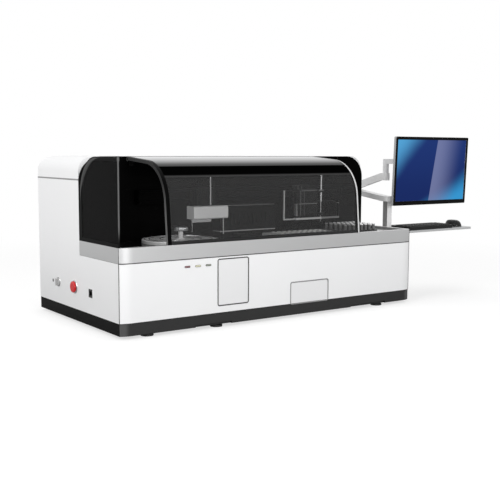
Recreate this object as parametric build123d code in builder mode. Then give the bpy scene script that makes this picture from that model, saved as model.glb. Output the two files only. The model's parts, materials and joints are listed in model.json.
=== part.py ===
from build123d import *
import os

os.makedirs("parts", exist_ok=True)

# Cabinet, in millimetres
body_width = 1500
body_depth = 775
floor_gap = 12
base_height = 48
panel_height = 225
rim_height = 58
housing_rise = 334
cover_height = 92
deck_depth = 343
corner_run = 55
corner_drop = 12
sheet = 4
seam = 1
foot_radius = 25
foot_setback = 35
foot_inset = 90

# Base pan, deck and rim
pan_wall = 20
pan_floor = 4
notch_height = 9
rim_wall = 20
ledge = 6
deck_sink = 13
deck_thickness = 8
fit_gap = 0.5

# Rear housing
wall_thickness = 12
wall_corner = 100
cover_corner = 60
louvre_count = 9

# Internal frame of square tube
tube = 30

# Hood
hood_left = 203
hood_length = 978
hood_frame = 16
hood_skin = 5
hood_lean = 28
hood_shoulder = 309
hood_bend = 170
frame_depth = 14
bar_height = 12
bar_depth = 16
band_start = 255
hinge_setback = 17
hinge_drop = 11
hinge_pin = 3.5
running_gap = 0.05

# Left end screen
screen_border = 16
screen_corner = 145
screen_thickness = 8
pane_thickness = 5

# Carousel
carousel_x = 366
carousel_y = 182
lid_radius = 158
lid_height = 15
well_radius = 150
well_wall = 4
well_depth = 112
rotor_radius = 146
bottle_count = 16
bottle_circle = 102
bottle_mouth = 7
knob_radius = 27

# Gantry and pipettors
beam_left = 240
beam_inset = 80
beam_depth = 40
beam_height = 60
beam_rise = 150
rail_depth = 8
rail_height = 8
slide_gap = 0.5
arm_line = 108
left_pipettor_x = 529
right_pipettor_inset = 422
needle_radius = 2
needle_offset = 76
left_travel = 250
z_bar = 6

# Racks
rack_count = 8
rack_pitch = 24
rack_width = 20
rack_length = 165
rack_height = 50
bay_inset = 362
bay_front = 42
bay_length = 282
bay_drop = 36
bay_wall = 3
tube_count = 5
tube_radius = 7.5
tube_wall = 1.2
tube_sides = 12
tube_length = 67

# Doors, drawer, lamps and side controls
door_x = 430
door_width = 146
door_bottom = 30
door_height = 183
door_gap = 1
finger_gap = 2.5
pivot_radius = 1.2
drawer_x = 795
drawer_width = 203
drawer_height = 91
drawer_depth = 286
box_wall = 2.5
lamp_x = 288
lamp_pitch = 48
lamp_width = 26
lamp_height = 7
lamp_rise = 195
lamp_proud = 3
control_rise = 90
button_y = 406
button_radius = 23
knob_y = 571
dial_radius = 16
dial_reach = 14
socket_y = 254
socket_side = 32
socket_drop = 7

# Monitor arm, monitor and keyboard tray
column_reach = 22
column_y = 180
column_side = 30
column_top = 462
elbow_reach = 60
elbow_y = 460
post_reach = 135
post_y = 315
arm_width = 40
arm_height = 25
arm_rise = 24
forearm_rise = 46
forearm_height = 36
tray_reach = 465
tray_front = 37
tray_depth = 253
tray_thickness = 10
tray_drop = 13
monitor_reach = 236
monitor_y = 100
monitor_z = 610
monitor_width = 500
monitor_height = 326
monitor_rim = 13
monitor_lean = 2.2
bezel = 14
tilt_rise = 42
key_rows = 5
key_columns = 14
key_pitch = 20
key_side = 17
key_travel = 2

# Levels and faces worked out from the sizes above
reach_right = body_width + monitor_reach + monitor_width / 2
left = -(reach_right - dial_reach) / 2
right = left + body_width
front = -body_depth / 2
back = front + body_depth
base_bottom = floor_gap
base_top = base_bottom + base_height
rim_bottom = base_top + panel_height
rim_top = rim_bottom + rim_height
housing_top = rim_top + housing_rise
cover_bottom = housing_top - cover_height
deck_top = rim_top - deck_sink
deck_bottom = deck_top - deck_thickness
wall_front = front + deck_depth
wall_back = wall_front + wall_thickness
pan_level = base_bottom + pan_floor
hinge_y = wall_front - hinge_setback
hinge_z = housing_top - hinge_drop


def footprint(level, inset=0.0):
    """Plan of the cabinet, whose front corners draw back in shallow arcs."""
    bulge = corner_drop * 0.28
    with BuildSketch(Plane.XY.offset(level)) as plan:
        with BuildLine():
            a = (left, front + corner_drop)
            b = (left + corner_run, front)
            c = (right - corner_run, front)
            d = (right, front + corner_drop)
            ThreePointArc(a, (left + corner_run * 0.42, front + bulge), b)
            Line(b, c)
            ThreePointArc(c, (right - corner_run * 0.42, front + bulge), d)
            Polyline(d, (right, back), (left, back), a)
        make_face()
        if inset:
            offset(amount=-inset, kind=Kind.INTERSECTION, mode=Mode.REPLACE)
    return plan.sketch


def block(x_range, y_range, z_range, mode=Mode.ADD):
    """Box between two corners, for use inside a part."""
    size = [high - low for low, high in (x_range, y_range, z_range)]
    centre = [(low + high) / 2 for low, high in (x_range, y_range, z_range)]
    with Locations(Location(centre)):
        Box(*size, mode=mode)


def finish(item, name):
    item.part.label = name
    export_step(item.part, f"parts/{name}.step")


# Base skirt: a deep welded pan with two toe notches in its front edge
notch_spans = ((325, 495), (1134, 1342))
foot_xs = (128, 442, body_width - 181)
foot_spots = [
    (left + x, y) for x in foot_xs for y in (front + foot_setback, back - foot_inset)
]
stud_radius = 5
with BuildPart() as base_skirt:
    extrude(footprint(base_bottom, seam), amount=base_height)
    extrude(footprint(pan_level, pan_wall), amount=base_height, mode=Mode.SUBTRACT)
    for start, end in notch_spans:
        block(
            (left + start, left + end),
            (front - 1, front + pan_wall / 2),
            (base_bottom - 1, base_bottom + notch_height),
            mode=Mode.SUBTRACT,
        )
    with BuildSketch(Plane.XY.offset(base_bottom)):
        with Locations(*foot_spots):
            Circle(stud_radius + fit_gap)
    extrude(amount=pan_floor, mode=Mode.SUBTRACT)
finish(base_skirt, "base_skirt")

# Levelling feet: pad, stud and lock nut of each, through the pan floor
pad_height = 7
nut_height = 8
with BuildPart() as levelling_feet:
    with BuildSketch():
        with Locations(*foot_spots):
            Circle(foot_radius)
    extrude(amount=pad_height)
    with BuildSketch(Plane.XY.offset(pad_height)):
        with Locations(*foot_spots):
            Circle(stud_radius * 2)
    extrude(amount=base_bottom - pad_height)
    with BuildSketch(Plane.XY.offset(base_bottom)):
        with Locations(*foot_spots):
            Circle(stud_radius)
    extrude(amount=pan_floor + nut_height + stud_radius)
    with BuildSketch(Plane.XY.offset(pan_level)):
        with Locations(*foot_spots):
            RegularPolygon(stud_radius * 1.8, 6)
    extrude(amount=nut_height)
finish(levelling_feet, "levelling_feet")

# Internal frame: six posts tied by beams at the floor, the deck and the top
post_xs = (left + pan_wall + sheet, right - pan_wall - sheet - tube)
post_ys = (front + pan_wall + 12, wall_back + 10, back - pan_wall - 6 - tube)
frame_top = housing_top - tube
with BuildPart() as cabinet_frame:
    for x in post_xs:
        span = (x, x + tube)
        for y, top in zip(post_ys, (rim_bottom, frame_top, frame_top)):
            block(span, (y, y + tube), (pan_level, top))
        block(span, (post_ys[0], post_ys[2] + tube), (pan_level, pan_level + tube))
        block(span, (post_ys[0], post_ys[2]), (rim_bottom - tube, rim_bottom))
        block(span, (post_ys[1], post_ys[2] + tube), (frame_top - tube, frame_top))
    across = (post_xs[0], post_xs[1] + tube)
    for y in post_ys[1:]:
        block(across, (y, y + tube), (frame_top - tube, frame_top))
        block(across, (y, y + tube), (pan_level, pan_level + tube))
finish(cabinet_frame, "cabinet_frame")

# Front panel: bent sheet with openings for the door, the drawer and the lamps
door_left = left + door_x
door_low = base_top + door_bottom
door_high = door_low + door_height
drawer_left = left + drawer_x
drawer_high = base_top + drawer_height
lamp_z = base_top + lamp_rise
lamp_xs = [left + lamp_x + i * lamp_pitch for i in range(3)]
panel_split = front + corner_drop
pivot_x = door_left + door_gap + sheet / 2
pivot_y = front + sheet / 2
pivot_reach = 6
with BuildPart() as front_panel:
    extrude(footprint(base_top), amount=panel_height - seam)
    extrude(footprint(base_top, sheet), amount=panel_height, mode=Mode.SUBTRACT)
    block(
        (left - 1, right + 1),
        (panel_split - seam / 2, back + 1),
        (base_top - 1, rim_bottom + 1),
        mode=Mode.SUBTRACT,
    )
    with BuildSketch(Plane.XZ.offset(-front - sheet - 1)):
        with Locations((door_left + door_width / 2, (door_low + door_high) / 2)):
            Rectangle(door_width, door_height)
        with Locations((drawer_left + drawer_width / 2, base_top + drawer_height / 2)):
            Rectangle(drawer_width, drawer_height)
        with Locations(*[(x, lamp_z) for x in lamp_xs]):
            SlotOverall(lamp_width, lamp_height)
    extrude(amount=sheet + 2, mode=Mode.SUBTRACT)
    with BuildSketch(Plane.XY.offset(door_low - pivot_reach - 0.5)):
        with Locations((pivot_x, pivot_y)):
            Circle(pivot_radius + running_gap)
    extrude(amount=door_height + 2 * pivot_reach + 1, mode=Mode.SUBTRACT)
finish(front_panel, "front_panel")

# Side panels: L-shaped sheets, low beside the deck and high beside the housing
control_z = base_top + control_rise
stem_radius = 8
dial_stem = 5


def side_panel_outline(plane):
    with BuildSketch(plane) as outline:
        with BuildLine():
            Polyline(
                (panel_split + seam / 2, base_top),
                (back - sheet, base_top),
                (back - sheet, cover_bottom - seam),
                (wall_back, cover_bottom - seam),
                (wall_back, rim_bottom - seam),
                (panel_split + seam / 2, rim_bottom - seam),
                close=True,
            )
        make_face()
    return outline.sketch


with BuildPart() as left_side_panel:
    extrude(side_panel_outline(Plane.YZ.offset(left)), amount=sheet)
    with BuildSketch(Plane.YZ.offset(left)):
        with Locations((front + button_y, control_z)):
            Circle(stem_radius + running_gap)
        with Locations((front + knob_y, control_z)):
            Circle(dial_stem + running_gap)
        with Locations((front + socket_y, control_z - socket_drop)):
            Rectangle(socket_side, socket_side)
    extrude(amount=sheet, mode=Mode.SUBTRACT)
finish(left_side_panel, "left_side_panel")

with BuildPart() as right_side_panel:
    extrude(side_panel_outline(Plane.YZ.offset(right)), amount=-sheet)
finish(right_side_panel, "right_side_panel")

# Rear panel with louvres and the power inlet's opening
inlet_x = left + 240
inlet_z = base_top + 70
inlet_width = 48
inlet_height = 30
louvre_width = 260
louvre_height = 8
louvre_pitch = 20
with BuildPart() as rear_panel:
    block((left, right), (back - sheet, back), (base_top, cover_bottom - seam))
    with BuildSketch(Plane.XZ.offset(-back - 1)):
        for x in (left + body_width * 0.3, left + body_width * 0.7):
            with Locations((x, base_top + 330)):
                with GridLocations(0, louvre_pitch, 1, louvre_count):
                    SlotOverall(louvre_width, louvre_height)
        with Locations((inlet_x, inlet_z)):
            Rectangle(inlet_width, inlet_height)
    extrude(amount=sheet + 2, mode=Mode.SUBTRACT)
finish(rear_panel, "rear_panel")

# Silver rim: a U round the deck with a ledge that carries the deck plate
with BuildPart() as deck_rim:
    extrude(footprint(rim_bottom), amount=rim_height)
    block(
        (left - 1, right + 1),
        (wall_back, back + 1),
        (rim_bottom - 1, rim_top + 1),
        mode=Mode.SUBTRACT,
    )
    block(
        (left + rim_wall, right - rim_wall),
        (front + rim_wall, back),
        (deck_bottom, rim_top + 1),
        mode=Mode.SUBTRACT,
    )
    block(
        (left + rim_wall + ledge, right - rim_wall - ledge),
        (front + rim_wall + ledge, back),
        (rim_bottom - 1, deck_bottom),
        mode=Mode.SUBTRACT,
    )
finish(deck_rim, "deck_rim")

# Deck plate with the carousel opening and the sunk rack bay
plate_left = left + rim_wall + fit_gap
plate_right = right - rim_wall - fit_gap
centre_x = left + carousel_x
centre_y = front + carousel_y
bay_x0 = right - bay_inset
bay_x1 = bay_x0 + rack_count * rack_pitch
bay_y0 = front + bay_front
bay_y1 = bay_y0 + bay_length
bay_floor = deck_top - bay_drop
needle_x = left + left_pipettor_x - needle_offset
needle_y = wall_front - arm_line
cup_x = needle_x + left_travel
cup_y = needle_y
cup_radius = 9
with BuildPart() as deck_plate:
    block((plate_left, plate_right), (front + rim_wall + fit_gap, wall_back), (deck_bottom, deck_top))
    block(
        (bay_x0 - bay_wall, bay_x1 + bay_wall),
        (bay_y0 - bay_wall, bay_y1 + bay_wall),
        (bay_floor - bay_wall, deck_bottom),
    )
    block((bay_x0, bay_x1), (bay_y0, bay_y1), (bay_floor, deck_top + 1), mode=Mode.SUBTRACT)
    with BuildSketch(Plane.XY.offset(deck_bottom)):
        with Locations((centre_x, centre_y)):
            Circle(well_radius)
        with Locations((cup_x, cup_y)):
            Circle(cup_radius + fit_gap)
    extrude(amount=deck_thickness, mode=Mode.SUBTRACT)
finish(deck_plate, "deck_plate")

# Black rear wall with rounded top corners; its tongue drops between the rim's arms
with BuildPart() as rear_wall:
    with BuildSketch(Plane.XZ.offset(-wall_back)):
        with BuildLine():
            FilletPolyline(
                (left, rim_top),
                (left, housing_top),
                (right, housing_top),
                (right, rim_top),
                radius=wall_corner,
            )
            Line((right, rim_top), (left, rim_top))
        make_face()
    extrude(amount=wall_thickness)
    block((plate_left, plate_right), (wall_front, wall_back), (deck_top, rim_top))
finish(rear_wall, "rear_wall")

# Top cover: a moulded shell, open below, with rounded side and rear edges
with BuildPart() as top_cover:
    block((left, right), (wall_back, back), (cover_bottom, housing_top))
    top_edges = top_cover.faces().sort_by(Axis.Z)[-1].edges()
    fillet(top_edges.sort_by(Axis.Y)[1:], radius=cover_corner)
    offset(amount=-sheet, openings=top_cover.faces().sort_by(Axis.Z)[0])
finish(top_cover, "top_cover")

# Left end screen: a smoked pane in a frame whose rear top corner is rounded
screen_top = housing_top
pane_low = rim_top + screen_border


def screen_outline(inset):
    """Side view of the end screen, open to the front, inset from its other edges."""
    lead = front + corner_drop
    rear = wall_front - inset
    with BuildSketch(Plane.YZ.offset(left)) as outline:
        with BuildLine():
            FilletPolyline(
                (lead, screen_top - inset),
                (rear, screen_top - inset),
                (rear, rim_top + inset),
                radius=screen_corner - inset,
            )
            Polyline(
                (rear, rim_top + inset),
                (lead, rim_top + inset),
                (lead, screen_top - inset),
            )
        make_face()
    return outline.sketch


pane_inset = (screen_thickness - pane_thickness) / 2
with BuildPart() as side_screen_frame:
    extrude(screen_outline(0), amount=screen_thickness)
    extrude(screen_outline(screen_border), amount=screen_thickness, mode=Mode.SUBTRACT)
finish(side_screen_frame, "side_screen_frame")

with BuildPart() as side_screen:
    extrude(screen_outline(screen_border), amount=pane_inset + pane_thickness)
    block(
        (left - 1, left + pane_inset),
        (front, wall_front),
        (rim_top, screen_top),
        mode=Mode.SUBTRACT,
    )
finish(side_screen, "side_screen")

# Status lamps: flanged lenses that stand a little proud of the front panel
lamp_flange = 4
for lamp_at, lamp_name in zip(lamp_xs, ("red_lamp", "amber_lamp", "green_lamp")):
    with BuildPart() as lamp:
        with BuildSketch(Plane.XZ.offset(-front - sheet)):
            with Locations((lamp_at, lamp_z)):
                SlotOverall(lamp_width, lamp_height)
        extrude(amount=sheet + lamp_proud)
        chamfer(lamp.faces().sort_by(Axis.Y)[0].edges(), length=lamp_proud / 3)
        with BuildSketch(Plane.XZ.offset(-front - sheet)):
            with Locations((lamp_at, lamp_z)):
                SlotOverall(lamp_width + lamp_flange * 2, lamp_height + lamp_flange * 2)
        extrude(amount=-lamp_flange)
    finish(lamp, lamp_name)

# Data socket and power inlet: recessed modules in the side and rear sheets
socket_depth = 24
socket_lip = 3
with BuildPart() as data_socket:
    with BuildSketch(Plane.YZ.offset(left)):
        with Locations((front + socket_y, control_z - socket_drop)):
            Rectangle(socket_side, socket_side)
    extrude(amount=socket_depth)
    with BuildSketch(Plane.YZ.offset(left)):
        with Locations((front + socket_y, control_z - socket_drop)):
            Rectangle(socket_side + socket_lip * 2, socket_side + socket_lip * 2)
    extrude(amount=-2)
    with BuildSketch(Plane.YZ.offset(left - 2)):
        with Locations((front + socket_y, control_z - socket_drop)):
            Rectangle(socket_side - 8, socket_side - 14)
    extrude(amount=socket_depth - 4, mode=Mode.SUBTRACT)
finish(data_socket, "data_socket")

inlet_depth = 30
with BuildPart() as power_inlet:
    with BuildSketch(Plane.XZ.offset(-back)):
        with Locations((inlet_x, inlet_z)):
            Rectangle(inlet_width, inlet_height)
    extrude(amount=inlet_depth)
    with BuildSketch(Plane.XZ.offset(-back)):
        with Locations((inlet_x, inlet_z)):
            Rectangle(inlet_width + 12, inlet_height + 8)
    extrude(amount=-lamp_proud)
    with BuildSketch(Plane.XZ.offset(-back - lamp_proud)):
        with Locations((inlet_x, inlet_z)):
            Rectangle(inlet_width - 18, inlet_height - 10)
        chamfer(vertices().sort_by(Axis.Y)[-2:], length=4)
    extrude(amount=inlet_depth - 8, mode=Mode.SUBTRACT)
finish(power_inlet, "power_inlet")

# Reagent carousel: well, motor, rotor, bottles and lid
well_top = deck_bottom
well_floor = well_top - well_depth
shaft_radius = 8
with BuildPart() as carousel_well:
    with BuildSketch(Plane.XY.offset(well_floor)):
        with Locations((centre_x, centre_y)):
            Circle(well_radius + well_wall)
    extrude(amount=well_depth)
    with BuildSketch(Plane.XY.offset(well_floor + well_wall)):
        with Locations((centre_x, centre_y)):
            Circle(well_radius)
    extrude(amount=well_depth, mode=Mode.SUBTRACT)
    with BuildSketch(Plane.XY.offset(well_floor)):
        with Locations((centre_x, centre_y)):
            Circle(shaft_radius + running_gap)
    extrude(amount=well_wall, mode=Mode.SUBTRACT)
finish(carousel_well, "carousel_well")

motor_height = 70
motor_radius = 42
shaft_reach = 30
with BuildPart() as carousel_motor:
    with BuildSketch(Plane.XY.offset(well_floor)):
        with Locations((centre_x, centre_y)):
            Circle(motor_radius)
    extrude(amount=-motor_height)
    chamfer(carousel_motor.edges().sort_by(Axis.Z)[0], length=6)
    with BuildSketch(Plane.XY.offset(well_floor)):
        with Locations((centre_x, centre_y)):
            Circle(shaft_radius + running_gap)
    extrude(amount=-shaft_reach - 1, mode=Mode.SUBTRACT)
finish(carousel_motor, "carousel_motor")

rotor_floor = well_floor + well_wall + 4
rotor_height = 40
pocket_radius = 17
bottle_radius = 16.5
bottle_height = 94
bottle_seat = rotor_floor + 8
first_bottle = 31.4
with BuildPart() as carousel_rotor:
    with BuildSketch(Plane.XY.offset(rotor_floor)):
        with Locations((centre_x, centre_y)):
            Circle(rotor_radius)
    extrude(amount=rotor_height)
    with BuildSketch(Plane.XY.offset(bottle_seat)):
        with Locations((centre_x, centre_y)):
            with PolarLocations(bottle_circle, bottle_count, start_angle=first_bottle):
                Circle(pocket_radius)
    extrude(amount=rotor_height, mode=Mode.SUBTRACT)
    with BuildSketch(Plane.XY.offset(rotor_floor + rotor_height)):
        with Locations((centre_x, centre_y)):
            Circle(bottle_circle - pocket_radius - 12)
            Circle(bottle_circle - pocket_radius - 30, mode=Mode.SUBTRACT)
    extrude(amount=-rotor_height / 2, mode=Mode.SUBTRACT)
    with BuildSketch(Plane.XY.offset(rotor_floor)):
        with Locations((centre_x, centre_y)):
            Circle(shaft_radius)
    extrude(amount=-shaft_reach)
finish(carousel_rotor, "carousel_rotor")

# Bottles: shouldered bodies with open mouths for the needle
with BuildPart() as reagent_bottles:
    with BuildSketch(Plane.XY.offset(bottle_seat)):
        with Locations((centre_x, centre_y)):
            with PolarLocations(bottle_circle, bottle_count, start_angle=first_bottle):
                Circle(bottle_radius)
    extrude(amount=bottle_height - 14)
    with BuildSketch(Plane.XY.offset(bottle_seat)):
        with Locations((centre_x, centre_y)):
            with PolarLocations(bottle_circle, bottle_count, start_angle=first_bottle):
                Circle(bottle_mouth + 3)
    extrude(amount=bottle_height)
    with BuildSketch(Plane.XY.offset(bottle_seat + bottle_height)):
        with Locations((centre_x, centre_y)):
            with PolarLocations(bottle_circle, bottle_count, start_angle=first_bottle):
                Circle(bottle_mouth)
    extrude(amount=-bottle_height + 12, mode=Mode.SUBTRACT)
finish(reagent_bottles, "reagent_bottles")

# Lid: a turned disc with a pipetting hole and a knob on a neck
lid_low = deck_top + fit_gap
lid_top = deck_top + lid_height
spigot_depth = 6
spigot_wall = 4
neck_radius = 10
knob_low = lid_top + 31
knob_height = 16
with BuildPart() as carousel_lid:
    with BuildSketch(Plane.XZ.offset(-centre_y)):
        with BuildLine():
            Polyline(
                (centre_x, lid_low),
                (centre_x + lid_radius, lid_low),
                (centre_x + lid_radius, lid_top - 3),
                (centre_x + lid_radius - 3, lid_top),
                (centre_x + neck_radius + 14, lid_top),
                (centre_x + neck_radius, lid_top + 6),
                (centre_x + neck_radius, knob_low),
                (centre_x + knob_radius, knob_low + 3),
                (centre_x + knob_radius, knob_low + knob_height - 3),
                (centre_x + knob_radius - 4, knob_low + knob_height),
                (centre_x, knob_low + knob_height),
                close=True,
            )
        make_face()
    revolve(axis=Axis((centre_x, centre_y, 0), (0, 0, 1)))
    with BuildSketch(Plane.XY.offset(lid_low)):
        with Locations((centre_x, centre_y)):
            Circle(well_radius - fit_gap)
            Circle(well_radius - fit_gap - spigot_wall, mode=Mode.SUBTRACT)
    extrude(amount=-spigot_depth)
    with BuildSketch(Plane.XY.offset(lid_low)):
        with Locations((needle_x, needle_y)):
            Circle(bottle_mouth)
    extrude(amount=lid_height, mode=Mode.SUBTRACT)
finish(carousel_lid, "carousel_lid")

# Gantry beam on the rear wall, with two guide rails along its front
beam_low = deck_top + beam_rise
beam_front = wall_front - beam_depth
rail_front = beam_front - rail_depth
rail_levels = (beam_low + 8, beam_low + beam_height - 8 - rail_height)
with BuildPart() as gantry_beam:
    with BuildSketch(Plane.YZ.offset(left + beam_left)):
        with Locations(((beam_front + wall_front) / 2, beam_low + beam_height / 2)):
            Rectangle(beam_depth, beam_height)
        with Locations((beam_front + beam_depth * 0.6, beam_low)):
            Rectangle(beam_depth * 0.4, beam_height * 0.5, mode=Mode.SUBTRACT)
        for level in rail_levels:
            with Locations((beam_front - rail_depth / 2, level + rail_height / 2)):
                Rectangle(rail_depth, rail_height)
    extrude(amount=body_width - beam_left - beam_inset)
finish(gantry_beam, "gantry_beam")


def slider(x_mid, half_width):
    """Carriage block that wraps the two rails, for use inside a part."""
    block_front = rail_front - 33
    block(
        (x_mid - half_width, x_mid + half_width),
        (block_front, beam_front - slide_gap),
        (beam_low - 6, beam_low + beam_height + 6),
    )
    for level in rail_levels:
        block(
            (x_mid - half_width, x_mid + half_width),
            (rail_front - slide_gap, beam_front),
            (level - slide_gap, level + rail_height + slide_gap),
            mode=Mode.SUBTRACT,
        )


# Left pipettor: carriage with a long cover, and the bar that carries the needle
left_mid = left + left_pipettor_x
slider_front = rail_front - 33
cover_front = slider_front - 57
left_cover_low = deck_top + 87
left_cover_high = beam_low - 9
bar_x = left_mid + 14
lid_clearance = 18
tap_clearance = 3
with BuildPart() as left_carriage:
    slider(left_mid, 45)
    block(
        (left_mid - 45, left_mid + 45),
        (slider_front - 16, slider_front),
        (left_cover_low, beam_low + beam_height + 6),
    )
    block(
        (left_mid - 85, left_mid + 85),
        (cover_front, slider_front),
        (left_cover_low, left_cover_high),
    )
    long_edges = left_carriage.edges().filter_by(Axis.X).group_by(Axis.Y)[0]
    fillet(long_edges, radius=8)
    block(
        (bar_x - z_bar / 2 - slide_gap, bar_x + z_bar / 2 + slide_gap),
        (needle_y - z_bar / 2 - slide_gap, needle_y + z_bar / 2 + slide_gap),
        (left_cover_low - 1, left_cover_high + 1),
        mode=Mode.SUBTRACT,
    )
    with BuildSketch(Plane.XY.offset(left_cover_low)):
        with Locations((left_mid + 80, needle_y)):
            Circle(needle_radius)
    extrude(amount=-(left_cover_low - lid_top - tap_clearance))
finish(left_carriage, "left_carriage")

left_bar_low = left_cover_low - 14
with BuildPart() as left_probe:
    block(
        (bar_x - z_bar / 2, bar_x + z_bar / 2),
        (needle_y - z_bar / 2, needle_y + z_bar / 2),
        (left_bar_low, housing_top - 82),
    )
    block(
        (needle_x - 6, bar_x),
        (needle_y - 6, needle_y + 6),
        (left_bar_low, left_bar_low + 12),
    )
    with BuildSketch(Plane.XY.offset(left_bar_low)):
        with Locations((needle_x, needle_y)):
            Circle(needle_radius)
    extrude(amount=-(left_bar_low - lid_top - lid_clearance))
finish(left_probe, "left_probe")

# Right pipettor: taller carriage with a guard frame, and a round rod with its needle
right_mid = right - right_pipettor_inset
tubes_top = bay_floor + bay_wall + 10 + tube_length
guard_low = tubes_top + 17
guard_bar = 8
right_cover_low = deck_top + 77
right_cover_high = right_cover_low + 118
rod_x = right_mid + 70
box_front = slider_front - 20
clip_left = right_mid - 139
clip_bar = 6
rod_radius = 5
ear_height = 12
guard_right = right_mid + 178
with BuildPart() as right_carriage:
    slider(right_mid, 45)
    block(
        (right_mid - 65, right_mid + 58),
        (box_front, slider_front),
        (right_cover_low, right_cover_high),
    )
    fillet(right_carriage.edges().filter_by(Axis.Z).group_by(Axis.Y)[0], radius=6)
    for level in (right_cover_low, right_cover_high - ear_height):
        block(
            (right_mid + 52, rod_x + 11),
            (needle_y - 8, box_front + 4),
            (level, level + ear_height),
        )
    for level in (guard_low, right_cover_high - clip_bar):
        block(
            (clip_left, right_mid - 60),
            (box_front, box_front + clip_bar),
            (level, level + clip_bar),
        )
    block(
        (clip_left, clip_left + clip_bar),
        (box_front, box_front + clip_bar),
        (guard_low, right_cover_high),
    )
    block(
        (right_mid - 79, guard_right),
        (needle_y - 6, needle_y + 6),
        (guard_low, guard_low + guard_bar),
    )
    block(
        (right_mid - 79, right_mid - 60),
        (needle_y - 6, box_front + clip_bar),
        (guard_low, guard_low + guard_bar),
    )
    block(
        (guard_right - 6, guard_right),
        (needle_y - 6, needle_y + 6),
        (guard_low, beam_low - 7),
    )
    block(
        (right_mid + 40, guard_right),
        (box_front + 8, box_front + 14),
        (beam_low - 13, beam_low - 7),
    )
    block(
        (guard_right - 6, guard_right),
        (needle_y - 6, box_front + 14),
        (beam_low - 13, beam_low - 7),
    )
    with BuildSketch(Plane.XY.offset(right_cover_high)):
        with Locations((rod_x, needle_y)):
            Circle(rod_radius + running_gap)
    extrude(amount=-(right_cover_high - right_cover_low - ear_height - 2), mode=Mode.SUBTRACT)
    with BuildSketch(Plane.XY.offset(guard_low)):
        with Locations((rod_x, needle_y)):
            Circle(needle_radius * 2)
    extrude(amount=right_cover_low + ear_height - guard_low, mode=Mode.SUBTRACT)
finish(right_carriage, "right_carriage")

probe_travel = 50
rod_low = right_cover_low + ear_height + probe_travel + 1
with BuildPart() as right_probe:
    with BuildSketch(Plane.XY.offset(rod_low)):
        with Locations((rod_x, needle_y)):
            Circle(rod_radius)
    extrude(amount=housing_top - 48 - rod_low)
    with BuildSketch(Plane.XY.offset(tubes_top + 4)):
        with Locations((rod_x, needle_y)):
            Circle(needle_radius)
    extrude(amount=rod_low - tubes_top - 4)
finish(right_probe, "right_probe")

# Wash station at the back of the deck: a stepped housing with cooling slots
wash_left = left + 625
wash_width = 298
wash_depth = 58
wash_height = 135
slot_pitch = 24
cup_height = 12
cup_bore = 6
cup_depth = 44
with BuildPart() as wash_station:
    block(
        (wash_left, wash_left + wash_width),
        (wall_front - wash_depth, wall_front),
        (deck_top, deck_top + wash_height),
    )
    fillet(wash_station.edges().filter_by(Axis.X).group_by(Axis.Y)[0].sort_by(Axis.Z)[-1], radius=14)
    with BuildSketch(Plane.XZ.offset(-wall_front + wash_depth)):
        with Locations((wash_left + wash_width / 2, deck_top + 75)):
            with GridLocations(slot_pitch, 0, 9, 1):
                SlotOverall(50, 6, rotation=90)
    extrude(amount=-8, mode=Mode.SUBTRACT)
    block(
        (cup_x - cup_radius * 2, cup_x + cup_radius * 2),
        (cup_y - cup_radius * 2, wall_front - wash_depth),
        (deck_top, deck_top + cup_height),
    )
    with BuildSketch(Plane.XY.offset(deck_top)):
        with Locations((cup_x, cup_y)):
            Circle(cup_radius)
    extrude(amount=-cup_depth)
    with BuildSketch(Plane.XY.offset(deck_top + cup_height)):
        with Locations((cup_x, cup_y)):
            Circle(cup_bore)
    extrude(amount=-cup_height - cup_depth + 3, mode=Mode.SUBTRACT)
finish(wash_station, "wash_station")

# Incubation block: a heated plate with rows of cuvette wells
block_left = bay_x0 - 348
block_width = 320
block_front = front + 85
block_depth = 115
block_height = 17
cuvette_pitch = 30
cuvette_side = 14
cuvette_depth = 12
with BuildPart() as incubation_block:
    block(
        (block_left, block_left + block_width),
        (block_front, block_front + block_depth),
        (deck_top, deck_top + block_height),
    )
    chamfer(incubation_block.faces().sort_by(Axis.Z)[-1].edges(), length=2)
    with BuildSketch(Plane.XY.offset(deck_top + block_height)):
        with Locations((block_left + block_width / 2, block_front + block_depth / 2)):
            with GridLocations(cuvette_pitch, cuvette_pitch, 9, 3):
                Rectangle(cuvette_side, cuvette_side)
    extrude(amount=-cuvette_depth, mode=Mode.SUBTRACT)
finish(incubation_block, "incubation_block")

# Luminometer under the deck: measuring head with its detector tube
head_side = 100
head_height = 60
detector_radius = 24
detector_length = 70
head_x = block_left + block_width / 2
head_y = block_front + block_depth / 2
with BuildPart() as luminometer:
    block(
        (head_x - head_side / 2, head_x + head_side / 2),
        (head_y - head_side / 2, head_y + head_side / 2),
        (deck_bottom - head_height, deck_bottom),
    )
    with BuildSketch(Plane.XY.offset(deck_bottom - head_height)):
        with Locations((head_x, head_y)):
            Circle(detector_radius)
    extrude(amount=-detector_length)
finish(luminometer, "luminometer")

# Power supply, control board and wash pump on the pan floor
supply_width = 240
supply_depth = 140
supply_height = 95
supply_vents = 8
supply_right = right - pan_wall - tube - 50
supply_left = supply_right - supply_width
supply_back = back - 100
supply_front = supply_back - supply_depth
with BuildPart() as power_supply:
    block(
        (supply_left, supply_right),
        (supply_front, supply_back),
        (pan_level, pan_level + supply_height),
    )
    with BuildSketch(Plane.XZ.offset(-supply_front)):
        with Locations((supply_left + supply_width / 2, pan_level + supply_height / 2)):
            with GridLocations(supply_width / (supply_vents + 2), 0, supply_vents, 1):
                Rectangle(louvre_height, supply_height * 0.6)
    extrude(amount=-sheet * 2, mode=Mode.SUBTRACT)
finish(power_supply, "power_supply")

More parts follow.
